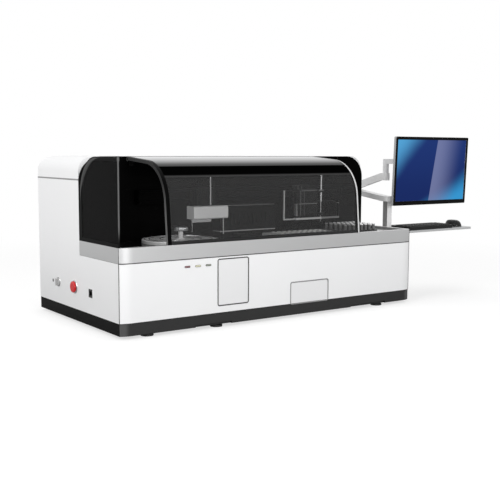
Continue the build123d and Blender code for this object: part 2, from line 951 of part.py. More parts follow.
board_width = 400
board_height = 280
board_thickness = 3
board_shelf = 40
chip_side = 50
chip_height = 12
board_left = left + 300
board_y = back - 160
with BuildPart() as control_board:
    block(
        (board_left, board_left + board_width),
        (board_y, board_y + board_thickness),
        (pan_level, pan_level + board_height),
    )
    block(
        (board_left, board_left + board_width),
        (board_y, board_y + board_shelf),
        (pan_level, pan_level + board_thickness),
    )
    with BuildSketch(Plane.XZ.offset(-board_y)):
        with Locations((board_left + board_width / 2, pan_level + board_height / 2)):
            with GridLocations(board_width / 3, board_height / 2.5, 3, 2):
                Rectangle(chip_side, chip_side)
    extrude(amount=chip_height)
finish(control_board, "control_board")

pump_foot = 12
pump_radius = 36
pump_height = 90
pump_head = 34
pump_flange = 8
pump_x = board_left + board_width
pump_y = board_y - 95
with BuildPart() as wash_pump:
    with BuildSketch(Plane.XY.offset(pan_level)):
        with Locations((pump_x, pump_y)):
            Rectangle(pump_radius * 3.2, pump_radius * 2.2)
    extrude(amount=pump_foot)
    with BuildSketch(Plane.XY.offset(pan_level + pump_foot)):
        with Locations((pump_x, pump_y)):
            Circle(pump_radius)
    extrude(amount=pump_height)
    with BuildSketch(Plane.XY.offset(pan_level + pump_foot + pump_height)):
        with Locations((pump_x, pump_y)):
            Circle(pump_radius + pump_flange)
    extrude(amount=pump_head)
    chamfer(wash_pump.edges().sort_by(Axis.Z)[-1], length=pump_flange / 2)
finish(wash_pump, "wash_pump")

# Buffer bottles behind the access door
flask_width = 52
flask_depth = 130
flask_height = 150
flask_y = front + pan_wall + 76
flask_xs = [door_left + door_width / 2 + 6 + side * (flask_width / 2 + 3) for side in (-1, 1)]
with BuildPart() as buffer_bottles:
    with BuildSketch(Plane.XY.offset(pan_level)):
        with Locations(*[(x, flask_y) for x in flask_xs]):
            RectangleRounded(flask_width, flask_depth, 12)
    extrude(amount=flask_height)
    chamfer(buffer_bottles.faces().sort_by(Axis.Z)[-2:].edges(), length=8)
    with BuildSketch(Plane.XY.offset(pan_level + flask_height)):
        with Locations(*[(x, flask_y) for x in flask_xs]):
            Circle(17)
    extrude(amount=24)
finish(buffer_bottles, "buffer_bottles")

# Waste drawer: front, box and the two runners that carry it
drawer_right = drawer_left + drawer_width
box_low = base_top + 6
box_high = base_top + 80
box_left = drawer_left + 10
box_right = drawer_right - 10
with BuildPart() as drawer_front:
    block(
        (drawer_left + door_gap, drawer_right - door_gap),
        (front, front + sheet),
        (base_top + door_gap, drawer_high - finger_gap),
    )
    fillet(drawer_front.edges().filter_by(Axis.Y).group_by(Axis.Z)[-1], radius=9)
    fillet(drawer_front.faces().sort_by(Axis.Y)[0].edges(), radius=1)
finish(drawer_front, "drawer_front")

with BuildPart() as waste_box:
    block((box_left, box_right), (front + sheet, front + sheet + drawer_depth), (box_low, box_high))
    block(
        (box_left + box_wall, box_right - box_wall),
        (front + sheet + box_wall, front + sheet + drawer_depth - box_wall),
        (box_low + box_wall, box_high + 1),
        mode=Mode.SUBTRACT,
    )
finish(waste_box, "waste_box")

runner = 3
runner_top = box_low - fit_gap
runner_span = (front + pan_wall + 12, front + drawer_depth)
with BuildPart() as drawer_runners:
    for x, inward in ((box_left, 1), (box_right, -1)):
        web = sorted((x, x + inward * runner))
        shelf = sorted((x, x + inward * 26))
        block(web, runner_span, (pan_level, runner_top))
        block(shelf, runner_span, (runner_top - runner, runner_top))
        block(shelf, runner_span, (pan_level, pan_level + runner))
finish(drawer_runners, "drawer_runners")

# Access door: rounded pivot edge, with pins above and below it
with BuildPart() as access_door:
    with BuildSketch(Plane.XY.offset(door_low + door_gap)):
        with BuildLine():
            Polyline(
                (pivot_x, front + sheet),
                (door_left + door_width - finger_gap, front + sheet),
                (door_left + door_width - finger_gap, front),
                (pivot_x, front),
            )
            ThreePointArc(
                (pivot_x, front),
                (pivot_x - sheet / 2, pivot_y),
                (pivot_x, front + sheet),
            )
        make_face()
    extrude(amount=door_height - 2 * door_gap)
    with BuildSketch(Plane.XY.offset(door_low - pivot_reach + door_gap)):
        with Locations((pivot_x, pivot_y)):
            Circle(pivot_radius)
    extrude(amount=door_height + 2 * (pivot_reach - door_gap))
finish(access_door, "access_door")

# Push button and rotary switch on the left side
button_travel = 4
with BuildPart() as main_button:
    with BuildSketch(Plane.YZ.offset(left - button_travel - 1)):
        with Locations((front + button_y, control_z)):
            Circle(button_radius)
    extrude(amount=-(dial_reach - button_travel - 2))
    chamfer(main_button.edges().sort_by(Axis.X)[0], length=3)
    with BuildSketch(Plane.YZ.offset(left - button_travel - 1)):
        with Locations((front + button_y, control_z)):
            Circle(stem_radius)
    extrude(amount=button_travel + sheet + 9)
finish(main_button, "main_button")

with BuildPart() as power_knob:
    with BuildSketch(Plane.YZ.offset(left - 1)):
        with Locations((front + knob_y, control_z)):
            Circle(dial_radius)
    extrude(amount=-4)
    with BuildSketch(Plane.YZ.offset(left - 5)):
        with Locations((front + knob_y, control_z)):
            SlotOverall(dial_radius * 1.9, dial_radius * 0.6, rotation=90)
    extrude(amount=-(dial_reach - 5))
    with BuildSketch(Plane.YZ.offset(left - 1)):
        with Locations((front + knob_y, control_z)):
            Circle(dial_stem)
    extrude(amount=sheet + 9)
finish(power_knob, "power_knob")

# Hood: side view of its skin between two depths under the outer face
hood_x0 = left + hood_left
hood_x1 = hood_x0 + hood_length
hood_foot = rim_top + fit_gap
skin_left = hood_x0 + hood_frame
skin_right = hood_x1 - hood_frame
band_low = rim_top + band_start


def hood_section(plane, depth, z_low, z_high):
    """Strip of the hood's side view, as deep as given, between two levels."""
    beyond = 60
    foot = (front - hood_lean * beyond / hood_shoulder, rim_top - beyond)
    crown_slope = (housing_rise - hood_shoulder) / (deck_depth - hood_lean)
    tail = (wall_front + beyond, housing_top + beyond * crown_slope)
    with BuildSketch(plane) as view:
        with BuildLine():
            FilletPolyline(
                foot,
                (front + hood_lean, rim_top + hood_shoulder),
                tail,
                radius=hood_bend,
            )
            Polyline(tail, (tail[0], foot[1]), foot)
        make_face()
        offset(amount=-depth, mode=Mode.SUBTRACT)
        with Locations(((front + hinge_y) / 2, (z_low + z_high) / 2)):
            Rectangle(hinge_y - front + 2, z_high - z_low, mode=Mode.INTERSECT)
    return view.sketch


with BuildPart() as hood_sheet:
    extrude(
        hood_section(Plane.YZ.offset(skin_left), hood_skin, hood_foot + bar_height, band_low),
        amount=skin_right - skin_left,
    )
finish(hood_sheet, "hood_sheet")

with BuildPart() as hood_top_band:
    extrude(
        hood_section(Plane.YZ.offset(skin_left), hood_skin, band_low, housing_top + 20),
        amount=skin_right - skin_left,
    )
finish(hood_top_band, "hood_top_band")

lug_radius = 9
for frame_x, frame_name in ((hood_x0, "hood_left_frame"), (skin_right, "hood_right_frame")):
    with BuildPart() as end_frame:
        extrude(
            hood_section(Plane.YZ.offset(frame_x), frame_depth, hood_foot, housing_top + 20),
            amount=hood_frame,
        )
        with BuildSketch(Plane.YZ.offset(frame_x)):
            with Locations((hinge_y, hinge_z)):
                Circle(lug_radius)
        extrude(amount=hood_frame)
        with BuildSketch(Plane.YZ.offset(frame_x)):
            with Locations((hinge_y, hinge_z)):
                Circle(hinge_pin + running_gap)
        extrude(amount=hood_frame, mode=Mode.SUBTRACT)
    finish(end_frame, frame_name)

with BuildPart() as hood_front_bar:
    block((skin_left, skin_right), (front + 1, front + 1 + bar_depth), (hood_foot, hood_foot + bar_height))
    fillet(hood_front_bar.edges().filter_by(Axis.X).group_by(Axis.Y)[0], radius=3)
finish(hood_front_bar, "hood_front_bar")

# Hinge brackets on the rear wall, each with the pin that the end frame turns on
bracket_width = 16
with BuildPart() as hood_hinges:
    for frame_edge, outward in ((skin_left + 1, -1), (skin_right - 1, 1)):
        inner = frame_edge - outward * bracket_width
        span = sorted((frame_edge, inner))
        with BuildSketch(Plane.YZ.offset(span[0])):
            with Locations((hinge_y, hinge_z)):
                Circle(hinge_pin + 0.5)
            with Locations(((hinge_y + wall_front) / 2 - 1, hinge_z - 5)):
                Rectangle(wall_front - hinge_y + 2, 6)
            with Locations((wall_front - 2, hinge_z - 15)):
                Rectangle(4, 26)
        extrude(amount=span[1] - span[0])
        with BuildSketch(Plane.YZ.offset(frame_edge)):
            with Locations((hinge_y, hinge_z)):
                Circle(hinge_pin)
        extrude(amount=outward * (hood_frame - 1))
finish(hood_hinges, "hood_hinges")

# Rack cassette: floor and end walls that slide back in the bay
cassette_gap = 1
rack_floor = bay_floor + bay_wall
cassette_y0 = bay_y0 + cassette_gap
cassette_y1 = cassette_y0 + rack_length + 2 * bay_wall
with BuildPart() as rack_cassette:
    block(
        (bay_x0 + cassette_gap, bay_x1 - cassette_gap),
        (cassette_y0, cassette_y1),
        (bay_floor + fit_gap, rack_floor),
    )
    for y in (cassette_y0, cassette_y1 - bay_wall):
        block(
            (bay_x0 + cassette_gap, bay_x1 - cassette_gap),
            (y, y + bay_wall),
            (rack_floor, rack_floor + 30),
        )
finish(rack_cassette, "rack_cassette")

tube_floor = rack_floor + 10
rack_xs = [bay_x0 + (i + 0.5) * rack_pitch for i in range(rack_count)]
rack_y = (cassette_y0 + cassette_y1) / 2
with BuildPart() as sample_racks:
    with BuildSketch(Plane.XY.offset(rack_floor)):
        with Locations(*[(x, rack_y) for x in rack_xs]):
            Rectangle(rack_width, rack_length)
    extrude(amount=rack_height)
    with BuildSketch(Plane.XY.offset(tube_floor)):
        with Locations(*[(x, rack_y) for x in rack_xs]):
            with GridLocations(0, rack_length / tube_count, 1, tube_count):
                RegularPolygon(tube_radius + 2 * running_gap, tube_sides)
    extrude(amount=rack_height, mode=Mode.SUBTRACT)
finish(sample_racks, "sample_racks")

with BuildPart() as sample_tubes:
    with BuildSketch(Plane.XY.offset(tube_floor)):
        with Locations(*[(x, rack_y) for x in rack_xs]):
            with GridLocations(0, rack_length / tube_count, 1, tube_count):
                RegularPolygon(tube_radius, tube_sides)
    extrude(amount=tube_length)
    with BuildSketch(Plane.XY.offset(tube_floor + tube_length)):
        with Locations(*[(x, rack_y) for x in rack_xs]):
            with GridLocations(0, rack_length / tube_count, 1, tube_count):
                RegularPolygon(tube_radius - tube_wall, tube_sides)
    extrude(amount=-tube_length + tube_wall, mode=Mode.SUBTRACT)
finish(sample_tubes, "sample_tubes")

# Column of the monitor arm, on a plate against the right side
plate_thickness = 5
plate_width = 60
mast_x = right + column_reach
mast_y = front + column_y
pin_radius = 7
pin_height = 18
with BuildPart() as arm_column:
    block(
        (right, right + plate_thickness),
        (mast_y - plate_width / 2, mast_y + plate_width / 2),
        (rim_bottom - 90, rim_top - 4),
    )
    block(
        (right + plate_thickness, mast_x + column_side / 2),
        (mast_y - column_side / 2, mast_y + column_side / 2),
        (rim_bottom - 10, column_top),
    )
    fillet(arm_column.edges().filter_by(Axis.Z).group_by(Axis.X)[-1], radius=4)
    with BuildSketch(Plane.XY.offset(column_top)):
        with Locations((mast_x, mast_y)):
            Circle(pin_radius)
    extrude(amount=pin_height)
finish(arm_column, "arm_column")


def arm_plane(start, end):
    """Upright plane through an arm, its x along the arm from the start pivot."""
    along = Vector(end[0] - start[0], end[1] - start[1], 0)
    return Plane(origin=(start[0], start[1], 0), x_dir=along, z_dir=along.cross(Vector(0, 0, 1)))


def arm_plan(start, end, level, width):
    """Plan of an arm: two round ends joined by straight sides."""
    with BuildSketch(Plane.XY.offset(level)) as plan:
        with Locations(start, end):
            Circle(width / 2)
        make_hull()
    return plan.sketch


# Lower arm, from the column back to the elbow, rising a little
elbow = (right + elbow_reach, front + elbow_y)
mast = (mast_x, mast_y)
lower_length = (Vector(*elbow) - Vector(*mast)).length
lower_low = column_top + fit_gap
lower_end = lower_low + arm_rise
half = arm_width / 2
with BuildPart() as lower_arm:
    with BuildSketch(arm_plane(mast, elbow)):
        with BuildLine():
            Polyline(
                (-half, lower_low),
                (half, lower_low),
                (lower_length - half, lower_end),
                (lower_length + half, lower_end),
                (lower_length + half, lower_end + arm_height),
                (lower_length - half, lower_end + arm_height),
                (half, lower_low + arm_height),
                (-half, lower_low + arm_height),
                close=True,
            )
        make_face()
    extrude(amount=half, both=True)
    extrude(arm_plan(mast, elbow, lower_low, arm_width), amount=100, mode=Mode.INTERSECT)
    with BuildSketch(Plane.XY.offset(lower_low)):
        with Locations(mast):
            Circle(pin_radius + running_gap)
    extrude(amount=pin_height - fit_gap + 1, mode=Mode.SUBTRACT)
    with BuildSketch(Plane.XY.offset(lower_end + arm_height)):
        with Locations(elbow):
            Circle(pin_radius)
    extrude(amount=pin_height)
finish(lower_arm, "lower_arm")

# Upper arm, from the elbow forward to the post
post = (right + post_reach, front + post_y)
upper_length = (Vector(*post) - Vector(*elbow)).length
upper_low = lower_end + arm_height + fit_gap
upper_end = upper_low + forearm_rise
with BuildPart() as upper_arm:
    with BuildSketch(arm_plane(elbow, post)):
        with BuildLine():
            Polyline(
                (-half, upper_low),
                (half, upper_low),
                (upper_length - half, upper_end),
                (upper_length + half, upper_end),
                (upper_length + half, upper_end + forearm_height),
                (upper_length - half, upper_end + forearm_height),
                (half, upper_low + forearm_height),
                (-half, upper_low + forearm_height),
                close=True,
            )
        make_face()
    extrude(amount=half, both=True)
    extrude(arm_plan(elbow, post, upper_low, arm_width), amount=120, mode=Mode.INTERSECT)
    with BuildSketch(Plane.XY.offset(upper_low)):
        with Locations(elbow):
            Circle(pin_radius + running_gap)
    extrude(amount=pin_height - fit_gap + 1, mode=Mode.SUBTRACT)
    with BuildSketch(Plane.XY.offset(upper_end + forearm_height)):
        with Locations(post):
            Circle(pin_radius)
    extrude(amount=pin_height)
finish(upper_arm, "upper_arm")

# Yoke: post cap and link to the tilt pin behind the monitor
screen_x = right + monitor_reach
screen_front = front + monitor_y
screen_back = screen_front + monitor_rim
tilt_y = screen_back + 40
tilt_z = monitor_z + tilt_rise
yoke_low = upper_end + forearm_height + fit_gap
link_height = 24
yoke_width = 30
tilt_pin = 5
with BuildPart() as monitor_yoke:
    with BuildSketch(Plane.XY.offset(yoke_low)):
        with Locations(post):
            Circle(yoke_width / 2)
    extrude(amount=tilt_z + link_height / 2 - yoke_low)
    extrude(
        arm_plan(post, (screen_x, tilt_y + 32), tilt_z - link_height / 2, yoke_width),
        amount=link_height,
    )
    block(
        (screen_x - yoke_width / 2, screen_x + yoke_width / 2),
        (tilt_y - 9, tilt_y + 32),
        (tilt_z - link_height / 2, tilt_z + link_height / 2),
    )
    with BuildSketch(Plane.XY.offset(yoke_low)):
        with Locations(post):
            Circle(pin_radius + running_gap)
    extrude(amount=pin_height - fit_gap + 1, mode=Mode.SUBTRACT)
    with BuildSketch(Plane.YZ.offset(screen_x - 24)):
        with Locations((tilt_y, tilt_z)):
            Circle(tilt_pin)
    extrude(amount=48)
finish(monitor_yoke, "monitor_yoke")

# Monitor housing: bezel, tapered back and the two lugs on the tilt pin
monitor_low = monitor_z - monitor_height / 2
monitor_high = monitor_z + monitor_height / 2
back_plane = Plane.XZ.offset(-screen_back)
tilt_axis = Axis((screen_x, tilt_y, tilt_z), (1, 0, 0))
with BuildPart() as monitor_housing:
    block(
        (screen_x - monitor_width / 2, screen_x + monitor_width / 2),
        (screen_front, screen_back),
        (monitor_low, monitor_high),
    )
    fillet(monitor_housing.edges().filter_by(Axis.Y), radius=6)
    with BuildSketch(Plane.XZ.offset(-screen_front)):
        with Locations((screen_x, monitor_z + 3)):
            Rectangle(monitor_width - 2 * bezel, monitor_height - 2 * bezel - 6)
    extrude(amount=-3, mode=Mode.SUBTRACT)
    with BuildSketch(back_plane):
        with Locations((screen_x, monitor_z - 10)):
            Rectangle(300, 220)
    with BuildSketch(back_plane.offset(-16)):
        with Locations((screen_x, monitor_z - 10)):
            Rectangle(260, 180)
    loft()
    for lug_x in (screen_x - 24, screen_x + 16):
        with BuildSketch(Plane.YZ.offset(lug_x)):
            with BuildLine():
                Polyline(
                    (tilt_y, tilt_z + 10),
                    (screen_back + 10, tilt_z + 10),
                    (screen_back + 10, tilt_z - 40),
                    (screen_back + 18, tilt_z - 40),
                    (tilt_y, tilt_z - 10),
                )
                ThreePointArc((tilt_y, tilt_z - 10), (tilt_y + 10, tilt_z), (tilt_y, tilt_z + 10))
            make_face()
        extrude(amount=8)
        with BuildSketch(Plane.YZ.offset(lug_x)):
            with Locations((tilt_y, tilt_z)):
                Circle(tilt_pin + running_gap)
        extrude(amount=8, mode=Mode.SUBTRACT)
monitor_housing.part = monitor_housing.part.rotate(tilt_axis, monitor_lean)
finish(monitor_housing, "monitor_housing")

with BuildPart() as monitor_screen:
    with BuildSketch(Plane.XZ.offset(-screen_front - 1)):
        with Locations((screen_x, monitor_z + 3)):
            Rectangle(monitor_width - 2 * bezel, monitor_height - 2 * bezel - 6)
    extrude(amount=-2)
monitor_screen.part = monitor_screen.part.rotate(tilt_axis, monitor_lean)
finish(monitor_screen, "monitor_screen")

# Keyboard tray: a plate with a notch round the column, on two bearers under its rear half
tray_top = rim_top - tray_drop
tray_left = right + 10
tray_right = right + tray_reach
tray_y0 = front + tray_front
tray_y1 = tray_y0 + tray_depth
bearer_width = 20
bearer_length = 400
bearer_drop = 8
with BuildPart() as keyboard_tray:
    block((tray_left, tray_right), (tray_y0, tray_y1), (tray_top - tray_thickness, tray_top))
    fillet(keyboard_tray.edges().filter_by(Axis.Z).group_by(Axis.X)[-1], radius=12)
    block(
        (tray_left - 1, mast_x + column_side / 2 + 2),
        (mast_y - plate_width / 2 - 2, mast_y + plate_width / 2 + 2),
        (tray_top - tray_thickness - 1, tray_top + 1),
        mode=Mode.SUBTRACT,
    )
    for y in (mast_y + plate_width / 2 + 4, tray_y1 - bearer_width - 8):
        block(
            (right, right + bearer_length),
            (y, y + bearer_width),
            (tray_top - tray_thickness - bearer_drop, tray_top - tray_thickness),
        )
        block((right, tray_left), (y, y + bearer_width), (tray_top - tray_thickness, tray_top))
finish(keyboard_tray, "keyboard_tray")

# Keyboard body with a sunk key field, its keys, and the mouse
keyboard_left = mast_x + column_side / 2 + 8
keyboard_width = key_columns * key_pitch + 20
keyboard_front = tray_y0 + 14
keyboard_depth = key_rows * key_pitch + 44
keyboard_height = 16
field_depth = 4
field_y = keyboard_front + 10 + key_rows * key_pitch / 2
keyboard_top = tray_top + keyboard_height
with BuildPart() as keyboard:
    with BuildSketch(Plane.XY.offset(tray_top)):
        with Locations((keyboard_left + keyboard_width / 2, keyboard_front + keyboard_depth / 2)):
            RectangleRounded(keyboard_width, keyboard_depth, 8)
    extrude(amount=keyboard_height)
    with BuildSketch(Plane.XY.offset(keyboard_top)):
        with Locations((keyboard_left + keyboard_width / 2, field_y)):
            Rectangle(key_columns * key_pitch, key_rows * key_pitch)
    extrude(amount=-field_depth, mode=Mode.SUBTRACT)
finish(keyboard, "keyboard")

key_low = keyboard_top - field_depth + key_travel + fit_gap
with BuildPart() as keyboard_keys:
    with BuildSketch(Plane.XY.offset(key_low)):
        with Locations((keyboard_left + keyboard_width / 2, field_y)):
            with GridLocations(key_pitch, key_pitch, key_columns, key_rows):
                Rectangle(key_side, key_side)
    extrude(amount=5, taper=12)
finish(keyboard_keys, "keyboard_keys")

mouse_width = 58
mouse_length = 94
mouse_height = 32
mouse_spot = (tray_right - mouse_width / 2 - 24, tray_y0 + mouse_length / 2 + 28)
with BuildPart() as mouse:
    with BuildSketch(Plane.XY.offset(tray_top)):
        with Locations(mouse_spot):
            RectangleRounded(mouse_width, mouse_length, mouse_width * 0.45)
    extrude(amount=mouse_height)
    chamfer(mouse.faces().sort_by(Axis.Z)[-1].edges(), length=mouse_height * 0.5, length2=mouse_width * 0.2)
finish(mouse, "mouse")
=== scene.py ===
import json
from math import cos, radians, sin

import bmesh
import bpy
import numpy as np
from mathutils import Matrix, Vector


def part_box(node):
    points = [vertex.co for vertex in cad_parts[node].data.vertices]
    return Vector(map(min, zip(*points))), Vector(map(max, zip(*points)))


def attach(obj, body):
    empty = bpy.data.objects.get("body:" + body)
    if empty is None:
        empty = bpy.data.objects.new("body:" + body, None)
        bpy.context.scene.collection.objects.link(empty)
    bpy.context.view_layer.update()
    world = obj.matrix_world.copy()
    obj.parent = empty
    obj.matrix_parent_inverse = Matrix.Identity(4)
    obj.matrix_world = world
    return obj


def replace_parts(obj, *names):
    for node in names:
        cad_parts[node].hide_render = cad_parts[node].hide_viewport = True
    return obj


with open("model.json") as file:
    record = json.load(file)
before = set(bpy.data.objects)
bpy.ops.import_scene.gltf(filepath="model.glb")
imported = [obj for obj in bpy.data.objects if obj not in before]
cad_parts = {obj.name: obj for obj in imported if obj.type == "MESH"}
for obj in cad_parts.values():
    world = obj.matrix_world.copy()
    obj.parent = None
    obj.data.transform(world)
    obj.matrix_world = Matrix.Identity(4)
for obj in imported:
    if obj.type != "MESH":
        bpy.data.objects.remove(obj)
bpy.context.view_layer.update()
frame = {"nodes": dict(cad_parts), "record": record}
scene = bpy.context.scene

# Camera: place in metres, angles in degrees, lens in millimetres
CAMERA_PLACE = (-2.420, -3.2395, 0.699)
CAMERA_TURN = 35.27
CAMERA_DIP = 6.48
CAMERA_ROLL = 0.23
CAMERA_LENS = 62.54

# Colours, and grains in bumps per metre, that several finishes share
WHITE = (0.86, 0.862, 0.868)
SILVER = (0.55, 0.555, 0.56)
SMOKE = 0.008
COARSE = 900.0
FINE = 2600.0


class Wire:
    """One output of a material's nodes, which adds, multiplies and divides like a number."""

    def __init__(self, paint, socket):
        self.paint = paint
        self.socket = socket

    def __add__(self, other):
        return self.paint.maths("ADD", self, other)

    def __radd__(self, other):
        return self.paint.maths("ADD", other, self)

    def __sub__(self, other):
        return self.paint.maths("SUBTRACT", self, other)

    def __rsub__(self, other):
        return self.paint.maths("SUBTRACT", other, self)

    def __mul__(self, other):
        return self.paint.maths("MULTIPLY", self, other)

    def __rmul__(self, other):
        return self.paint.maths("MULTIPLY", other, self)

    def __truediv__(self, other):
        return self.paint.maths("DIVIDE", self, other)

    def __abs__(self):
        return self.paint.maths("ABSOLUTE", self)

    def top(self, other):
        """Greater of two values."""
        return self.paint.maths("MAXIMUM", self, other)

    def root(self):
        return self.paint.maths("SQRT", self)

    def wave(self):
        """Sine of the value in radians, from -1 to 1."""
        return self.paint.maths("SINE", self)

    def ease(self, low, high, start=0.0, end=1.0):
        """Smooth step from start at low to end at high."""
        return self.paint.node(
            "ShaderNodeMapRange",
            {"interpolation_type": "SMOOTHSTEP"},
            {"Value": self, 1: low, 2: high, 3: start, 4: end},
        )

    def between(self, low, high, soft):
        """1 between low and high and 0 outside, with ends that are soft over a short way."""
        return self.ease(low, low + soft) * self.ease(high, high - soft)


class Paint:
    """A material in the making, with a Principled surface and Object coordinates."""

    def __init__(self, name, colour, rough, **sockets):
        self.material = bpy.data.materials.new(name)
        self.material.use_nodes = True
        self.tree = self.material.node_tree
        self.surface = self.tree.nodes["Principled BSDF"]
        self.output = self.tree.nodes["Material Output"]
        self.place = self.node("ShaderNodeTexCoord", output="Object")
        self.fill(self.surface, {"Base Color": colour, "Roughness": rough, **sockets})

    def fill(self, node, sockets):
        """Give each socket its value, or the wire that leads to it."""
        for key, value in sockets.items():
            socket = node.inputs[key]
            if isinstance(value, Wire):
                self.tree.links.new(value.socket, socket)
            elif isinstance(value, tuple) and len(value) == 3 and socket.type == "RGBA":
                socket.default_value = (*value, 1.0)
            else:
                socket.default_value = value

    def node(self, kind, settings=None, sockets=None, output=0):
        """Any node: its settings first, then the values or wires of its sockets."""
        made = self.tree.nodes.new(kind)
        for key, value in (settings or {}).items():
            setattr(made, key, value)
        self.fill(made, sockets or {})
        return Wire(self, made.outputs[output])

    def set(self, **sockets):
        """Fill sockets of the Principled surface, named with underscores for spaces."""
        self.fill(self.surface, {key.replace("_", " "): value for key, value in sockets.items()})

    def maths(self, operation, *values):
        return self.node("ShaderNodeMath", {"operation": operation}, dict(enumerate(values)))

    def axis(self, letter):
        """One coordinate of the place, in metres."""
        return self.node("ShaderNodeSeparateXYZ", None, {0: self.place}, letter)

    def facing(self, letter):
        """One component of the surface's own direction, from -1 to 1."""
        normal = self.node("ShaderNodeTexCoord", output="Normal")
        return self.node("ShaderNodeSeparateXYZ", None, {0: normal}, letter)

    def blend(self, share, low, high):
        """Colour between low and high by share."""
        return self.node("ShaderNodeMix", {"data_type": "RGBA"}, {0: share, 6: low, 7: high}, 2)

    def noise(self, scale, detail=3.0, rough=0.5, stretch=(1, 1, 1)):
        """Cloudy pattern with so many bumps per metre, drawn out along an axis by stretch."""
        place = self.node("ShaderNodeMapping", None, {"Vector": self.place, "Scale": stretch})
        return self.node(
            "ShaderNodeTexNoise",
            None,
            {"Vector": place, "Scale": scale, "Detail": detail, "Roughness": rough},
            "Fac",
        )

    def cells(self, scale):
        """Small pits, so many per metre."""
        return self.node("ShaderNodeTexVoronoi", None, {"Vector": self.place, "Scale": scale})

    def relief(self, height, strength, distance, under=None):
        """Bump from a height pattern, on top of softened edges where under is given."""
        sockets = {"Height": height, "Strength": strength, "Distance": distance}
        if under is not None:
            sockets["Normal"] = under
        self.set(Normal=self.node("ShaderNodeBump", None, sockets))

    def edges(self, radius):
        """Normal that rolls over the edges of a sheet within a small radius."""
        return self.node("ShaderNodeBevel", {"samples": 4}, {"Radius": radius})


def grey(value):
    return (value, value, value)


def scaled(colour, share):
    """Colour made darker or lighter by one factor."""
    return tuple(channel * share for channel in colour)


def shine(level):
    """How strongly a finish mirrors its surroundings."""
    return {"Specular IOR Level": level}


def middle_of(node):
    """Middle of a CAD node's box."""
    low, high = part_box(node)
    return (low + high) / 2


def coated(name, colour, rough, **sockets):
    """Sprayed or powder-coated metal: fine orange peel, faint tone and gloss drift."""
    paint = Paint(name, colour, rough, **sockets)
    paint.set(
        Base_Color=paint.blend(paint.noise(3.0, 2.0), scaled(colour, 0.965), colour),
        Roughness=rough + (paint.noise(14.0, 4.0) - 0.5) * 0.12,
    )
    paint.relief(paint.noise(COARSE, 2.0), 0.12, 0.0003, paint.edges(0.0012))
    return paint.material


def moulded(name, colour, rough, grain=1800.0, depth=0.25, **sockets):
    """Moulded plastic: eroded grain of fine cells, and a slow change of tone and gloss."""
    paint = Paint(name, colour, rough, **sockets)
    cloud = paint.noise(9.0, 3.0)
    paint.set(
        Base_Color=paint.blend(cloud, scaled(colour, 0.9), scaled(colour, 1.05)),
        Roughness=rough + (cloud - 0.5) * 0.15,
    )
    paint.relief(paint.cells(grain), depth, 0.0002, paint.edges(0.0008))
    return paint.material


def metal(name, colour, rough, along=(1, 1, 1), depth=0.08, edge=0.0008):
    """Metal with fine lines drawn out along one axis and a soft change of gloss."""
    paint = Paint(name, colour, rough, Metallic=1.0)
    lines = paint.noise(1400.0, 3.0, 0.6, along)
    cloud = paint.noise(5.0, 3.0)
    paint.set(
        Base_Color=paint.blend(lines, scaled(colour, 0.9), colour),
        Roughness=rough + (lines - 0.5) * 0.12 + (cloud - 0.5) * 0.08,
    )
    paint.relief(lines, depth, 0.0002, paint.edges(edge))
    return paint.material


def polished(name, colour, rough, smear, **sockets):
    """Glossy black: a clear shine broken by faint wipe marks and dust."""
    paint = Paint(name, colour, rough, **sockets)
    wipes = paint.noise(7.0, 5.0, 0.65, (1, 1, 2.4))
    dust = paint.noise(420.0, 2.0)
    dusty = tuple(channel + 0.006 for channel in colour)
    paint.set(
        Roughness=rough + wipes.ease(0.45, 0.8) * smear,
        Base_Color=paint.blend(dust.ease(0.6, 0.75), colour, dusty),
    )
    paint.relief(paint.noise(60.0, 2.0), 0.02, 0.0005, paint.edges(0.001))
    return paint.material


def smoked(name, colour, clear, rough, **sockets):
    """Tinted clear sheet: see-through by the share given, with faint wipe marks.

    It casts no shadow, so the deck under it stays lit.
    """
    paint = Paint(name, colour, rough, **sockets)
    wipes = paint.noise(5.0, 5.0, 0.6, (1, 1, 2.0))
    seen = 1.0 - paint.node("ShaderNodeLightPath", output="Is Shadow Ray")
    paint.set(
        Alpha=((1 - clear) + (wipes - 0.5) * 0.03) * seen,
        Roughness=rough + wipes.ease(0.5, 0.85) * 0.08,
    )
    paint.relief(paint.noise(9.0, 1.0), 0.02, 0.001)
    return paint.material


def corner_gap(paint, radius, inset):
    """Distance from the end screen's rounded outline, moved in by inset: above 0 outside it."""
    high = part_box("side_screen_frame")[1]
    over = (paint.axis("Y") - (high.y - inset - radius)).top(0.0)
    up = (paint.axis("Z") - (high.z - inset - radius)).top(0.0)
    return (over * over + up * up).root() - radius


def end_screen(name, clear):
    """Smoked end screen: a painted highlight as a pale crescent in its rounded corner, and a
    painted highlight as a pale front edge.
    """
    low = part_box("side_screen_frame")[0]
    paint = Paint(name, grey(SMOKE), 0.12)
    inside_rim = corner_gap(paint, 0.143, 0.003).ease(0.0, -0.0015)
    # Painted highlights: the pale crescent in the rounded corner and the pale strip along the
    # front edge
    crescent = corner_gap(paint, 0.185, 0.005).ease(0.0, 0.002) * inside_rim
    front = paint.axis("Y").ease(low.y + 0.0032, low.y + 0.0026)
    above_rim = (paint.axis("Z") - low.z).ease(0.02, 0.08)
    wipes = paint.noise(5.0, 5.0, 0.6, (1, 1, 2.0))
    highlighted_smoke = paint.blend(crescent, grey(SMOKE), grey(0.075))
    paint.set(
        Base_Color=paint.blend(front * above_rim, highlighted_smoke, grey(0.13)),
        Roughness=0.1 + wipes.ease(0.4, 0.8) * 0.1,
        Specular_IOR_Level=0.01,
    )
    if clear:
        paint.set(Alpha=(1 - clear) + crescent.top(front) * clear)
    paint.relief(wipes, 0.02, 0.001)
    return paint.material


